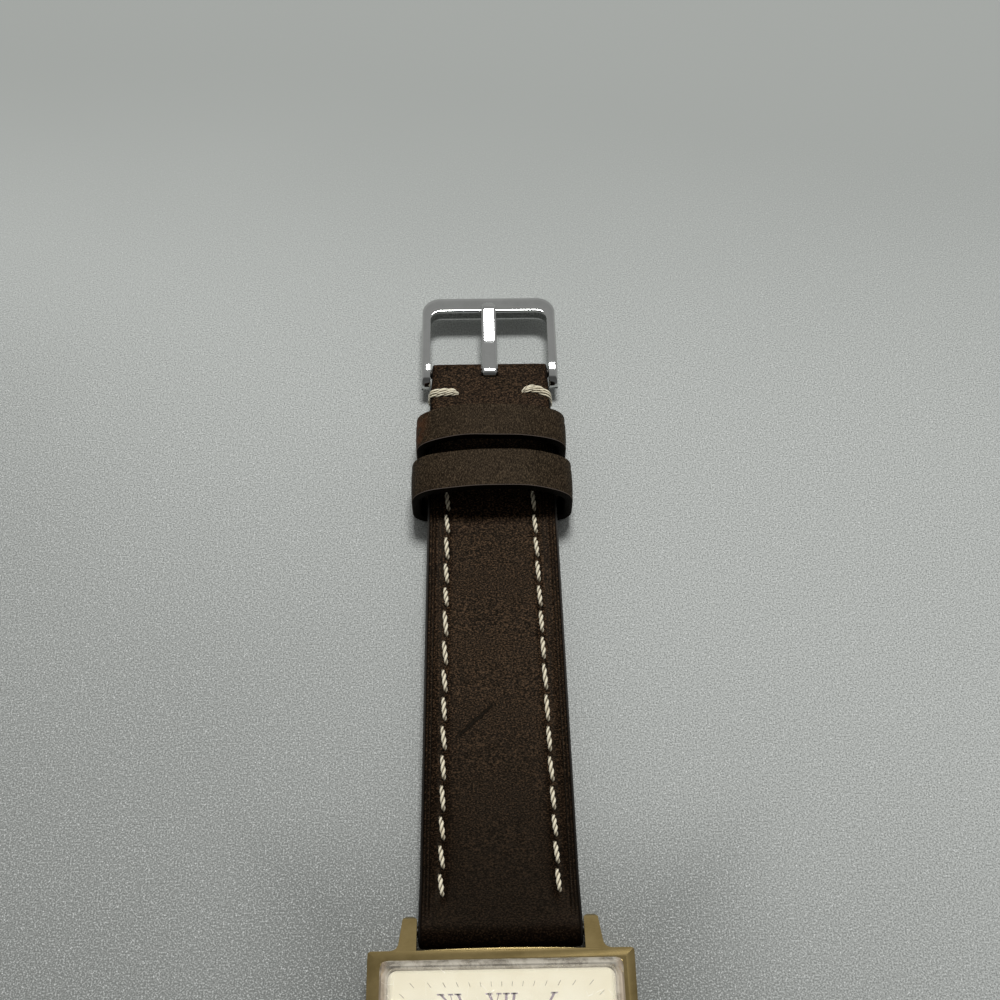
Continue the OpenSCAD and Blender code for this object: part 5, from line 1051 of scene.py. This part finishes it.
def faceted_hand(name, node, body, z, length, width, hole, tail, angle, thick):
    """A tapered hand about a round boss, with two facets that rise to a ridge and a flat underside."""
    v = np.concatenate([np.linspace(-tail, length * 0.2, 14), np.linspace(length * 0.2, length, 20)[1:]])
    half = np.interp(v, [-tail, length * 0.2, length], [width * 0.3, width / 2, 0.05])
    share = np.linspace(-1, 1, 9)
    x = half[:, None] * share[None]
    ridge = thick * (1 - 0.72 * np.abs(share))
    mid = (v[:-1] + v[1:]) / 2
    kept = np.repeat((np.abs(mid) > hole + 0.02)[:, None], 8, 1)
    c, s = np.cos(np.radians(-angle)), np.sin(np.radians(-angle))
    turn = np.array([[c, s, 0], [-s, c, 0], [0, 0, 1]])
    skins = [np.stack(np.broadcast_arrays(x, v[:, None], z + rise), -1) @ turn for rise in (ridge, 0 * ridge)]
    slab(name, *skins, kept, "hands", body, node, smooth=False)
    around = np.linspace(0, 2 * np.pi, 40, endpoint=False)
    out, up = rounded_loop(hole, hole + 0.38, 0, thick * 1.05, 0.05, 4, 0.2).T
    ring = np.stack([np.outer(np.cos(around), out), np.outer(np.sin(around), out), np.tile(z + up, (40, 1))], -1)
    piece(name + "_boss", ring, lofted(ring.shape[:2], True), "hands", body)


def make_camera():
    """Right, up and back axes from the look-down angle, the turn about z and the roll."""
    ahead = np.array([np.sin(TURN) * np.cos(LOOK_DOWN), np.cos(TURN) * np.cos(LOOK_DOWN), -np.sin(LOOK_DOWN)])
    level = np.array([np.cos(TURN), -np.sin(TURN), 0.0])
    down = np.cross(ahead, level)
    right = np.cos(ROLL) * level + np.sin(ROLL) * down
    low = -np.sin(ROLL) * level + np.cos(ROLL) * down
    camera = shown("camera", bpy.data.cameras.new("camera"))
    camera.data.lens, camera.data.sensor_width = LENS, SENSOR
    camera.data.clip_start, camera.data.clip_end = 0.01, 20.0
    stand(camera, right, -low, -ahead, CAMERA_AT * MM)
    bpy.context.scene.camera = camera


def make_floor():
    """A wide flat table top."""
    made = shown("table_top", bpy.data.meshes.new("table_top"))
    corners = [(x * FLOOR_HALF, y * FLOOR_HALF, 0) for x, y in ((-1, -1), (1, -1), (1, 1), (-1, 1))]
    made.data.from_pydata(corners, [], [(0, 1, 2, 3)])
    made.data.materials.append(floor_finish())


def make_light():
    """One soft lamp high behind the buckle, and a room that is dimmer overhead and dark on the viewer's side."""
    lamp = bpy.data.lights.new("ceiling_lamp", "AREA")
    lamp.shape, lamp.energy = "RECTANGLE", LAMP_POWER
    lamp.size, lamp.size_y = LAMP_SIZE
    back = (LAMP_AT - LAMP_AIM) / np.linalg.norm(LAMP_AT - LAMP_AIM)
    right = np.cross([0.0, 1.0, 0.0], back)
    right /= np.linalg.norm(right)
    stand(shown("ceiling_lamp", lamp), right, np.cross(back, right), back, LAMP_AT)
    world = bpy.data.worlds.new("room")
    world.use_nodes = True
    bpy.context.scene.world = world
    room = Nodes(world.node_tree)
    split = {0: room.node("TexCoord", {}, {}, "Generated")}
    light = [(height, (level, level, level * 0.99)) for height, level in ROOM_LIGHT]
    colour = room.node("ValToRGB", {"stops": light}, {0: room.node("SeparateXYZ", {}, split, "Z")})
    front = room.node("MapRange", {"interpolation_type": "SMOOTHSTEP"},
                      {"Value": room.node("SeparateXYZ", {}, split, "Y"), "From Min": -0.45, "From Max": -0.12,
                       "To Min": 0.25, "To Max": 1.0})
    shaded = room.node("VectorMath", {"operation": "SCALE"}, {0: colour, "Scale": front})
    room.feed(room.tree.nodes["Background"].inputs[0], shaded)


make_camera()
make_light()
make_floor()
for make in (strap_leather, strap_lining, stitching):
    for strap_half in (buckle_half, tail_half):
        make(strap_half)
edge_tacks()
keeper("fixed_keeper_band", "fixed_keeper", "buckle_strap", *FIXED_KEEPER)
keeper("loose_keeper_band", "floating_keeper", "loose_keeper", *LOOSE_KEEPER)
dial_printing()
softened("case_body", "gold_case", GOLD_EDGE)
softened("crown", "gold_case", GOLD_EDGE)
softened("case_back", "case_back_steel", BACK_EDGE)
buckle_frame()
buckle_tongue()
faceted_hand("hour_hand_faceted", "hour_hand", "hour", *HOUR_HAND)
faceted_hand("minute_hand_faceted", "minute_hand", "minute", *MINUTE_HAND)
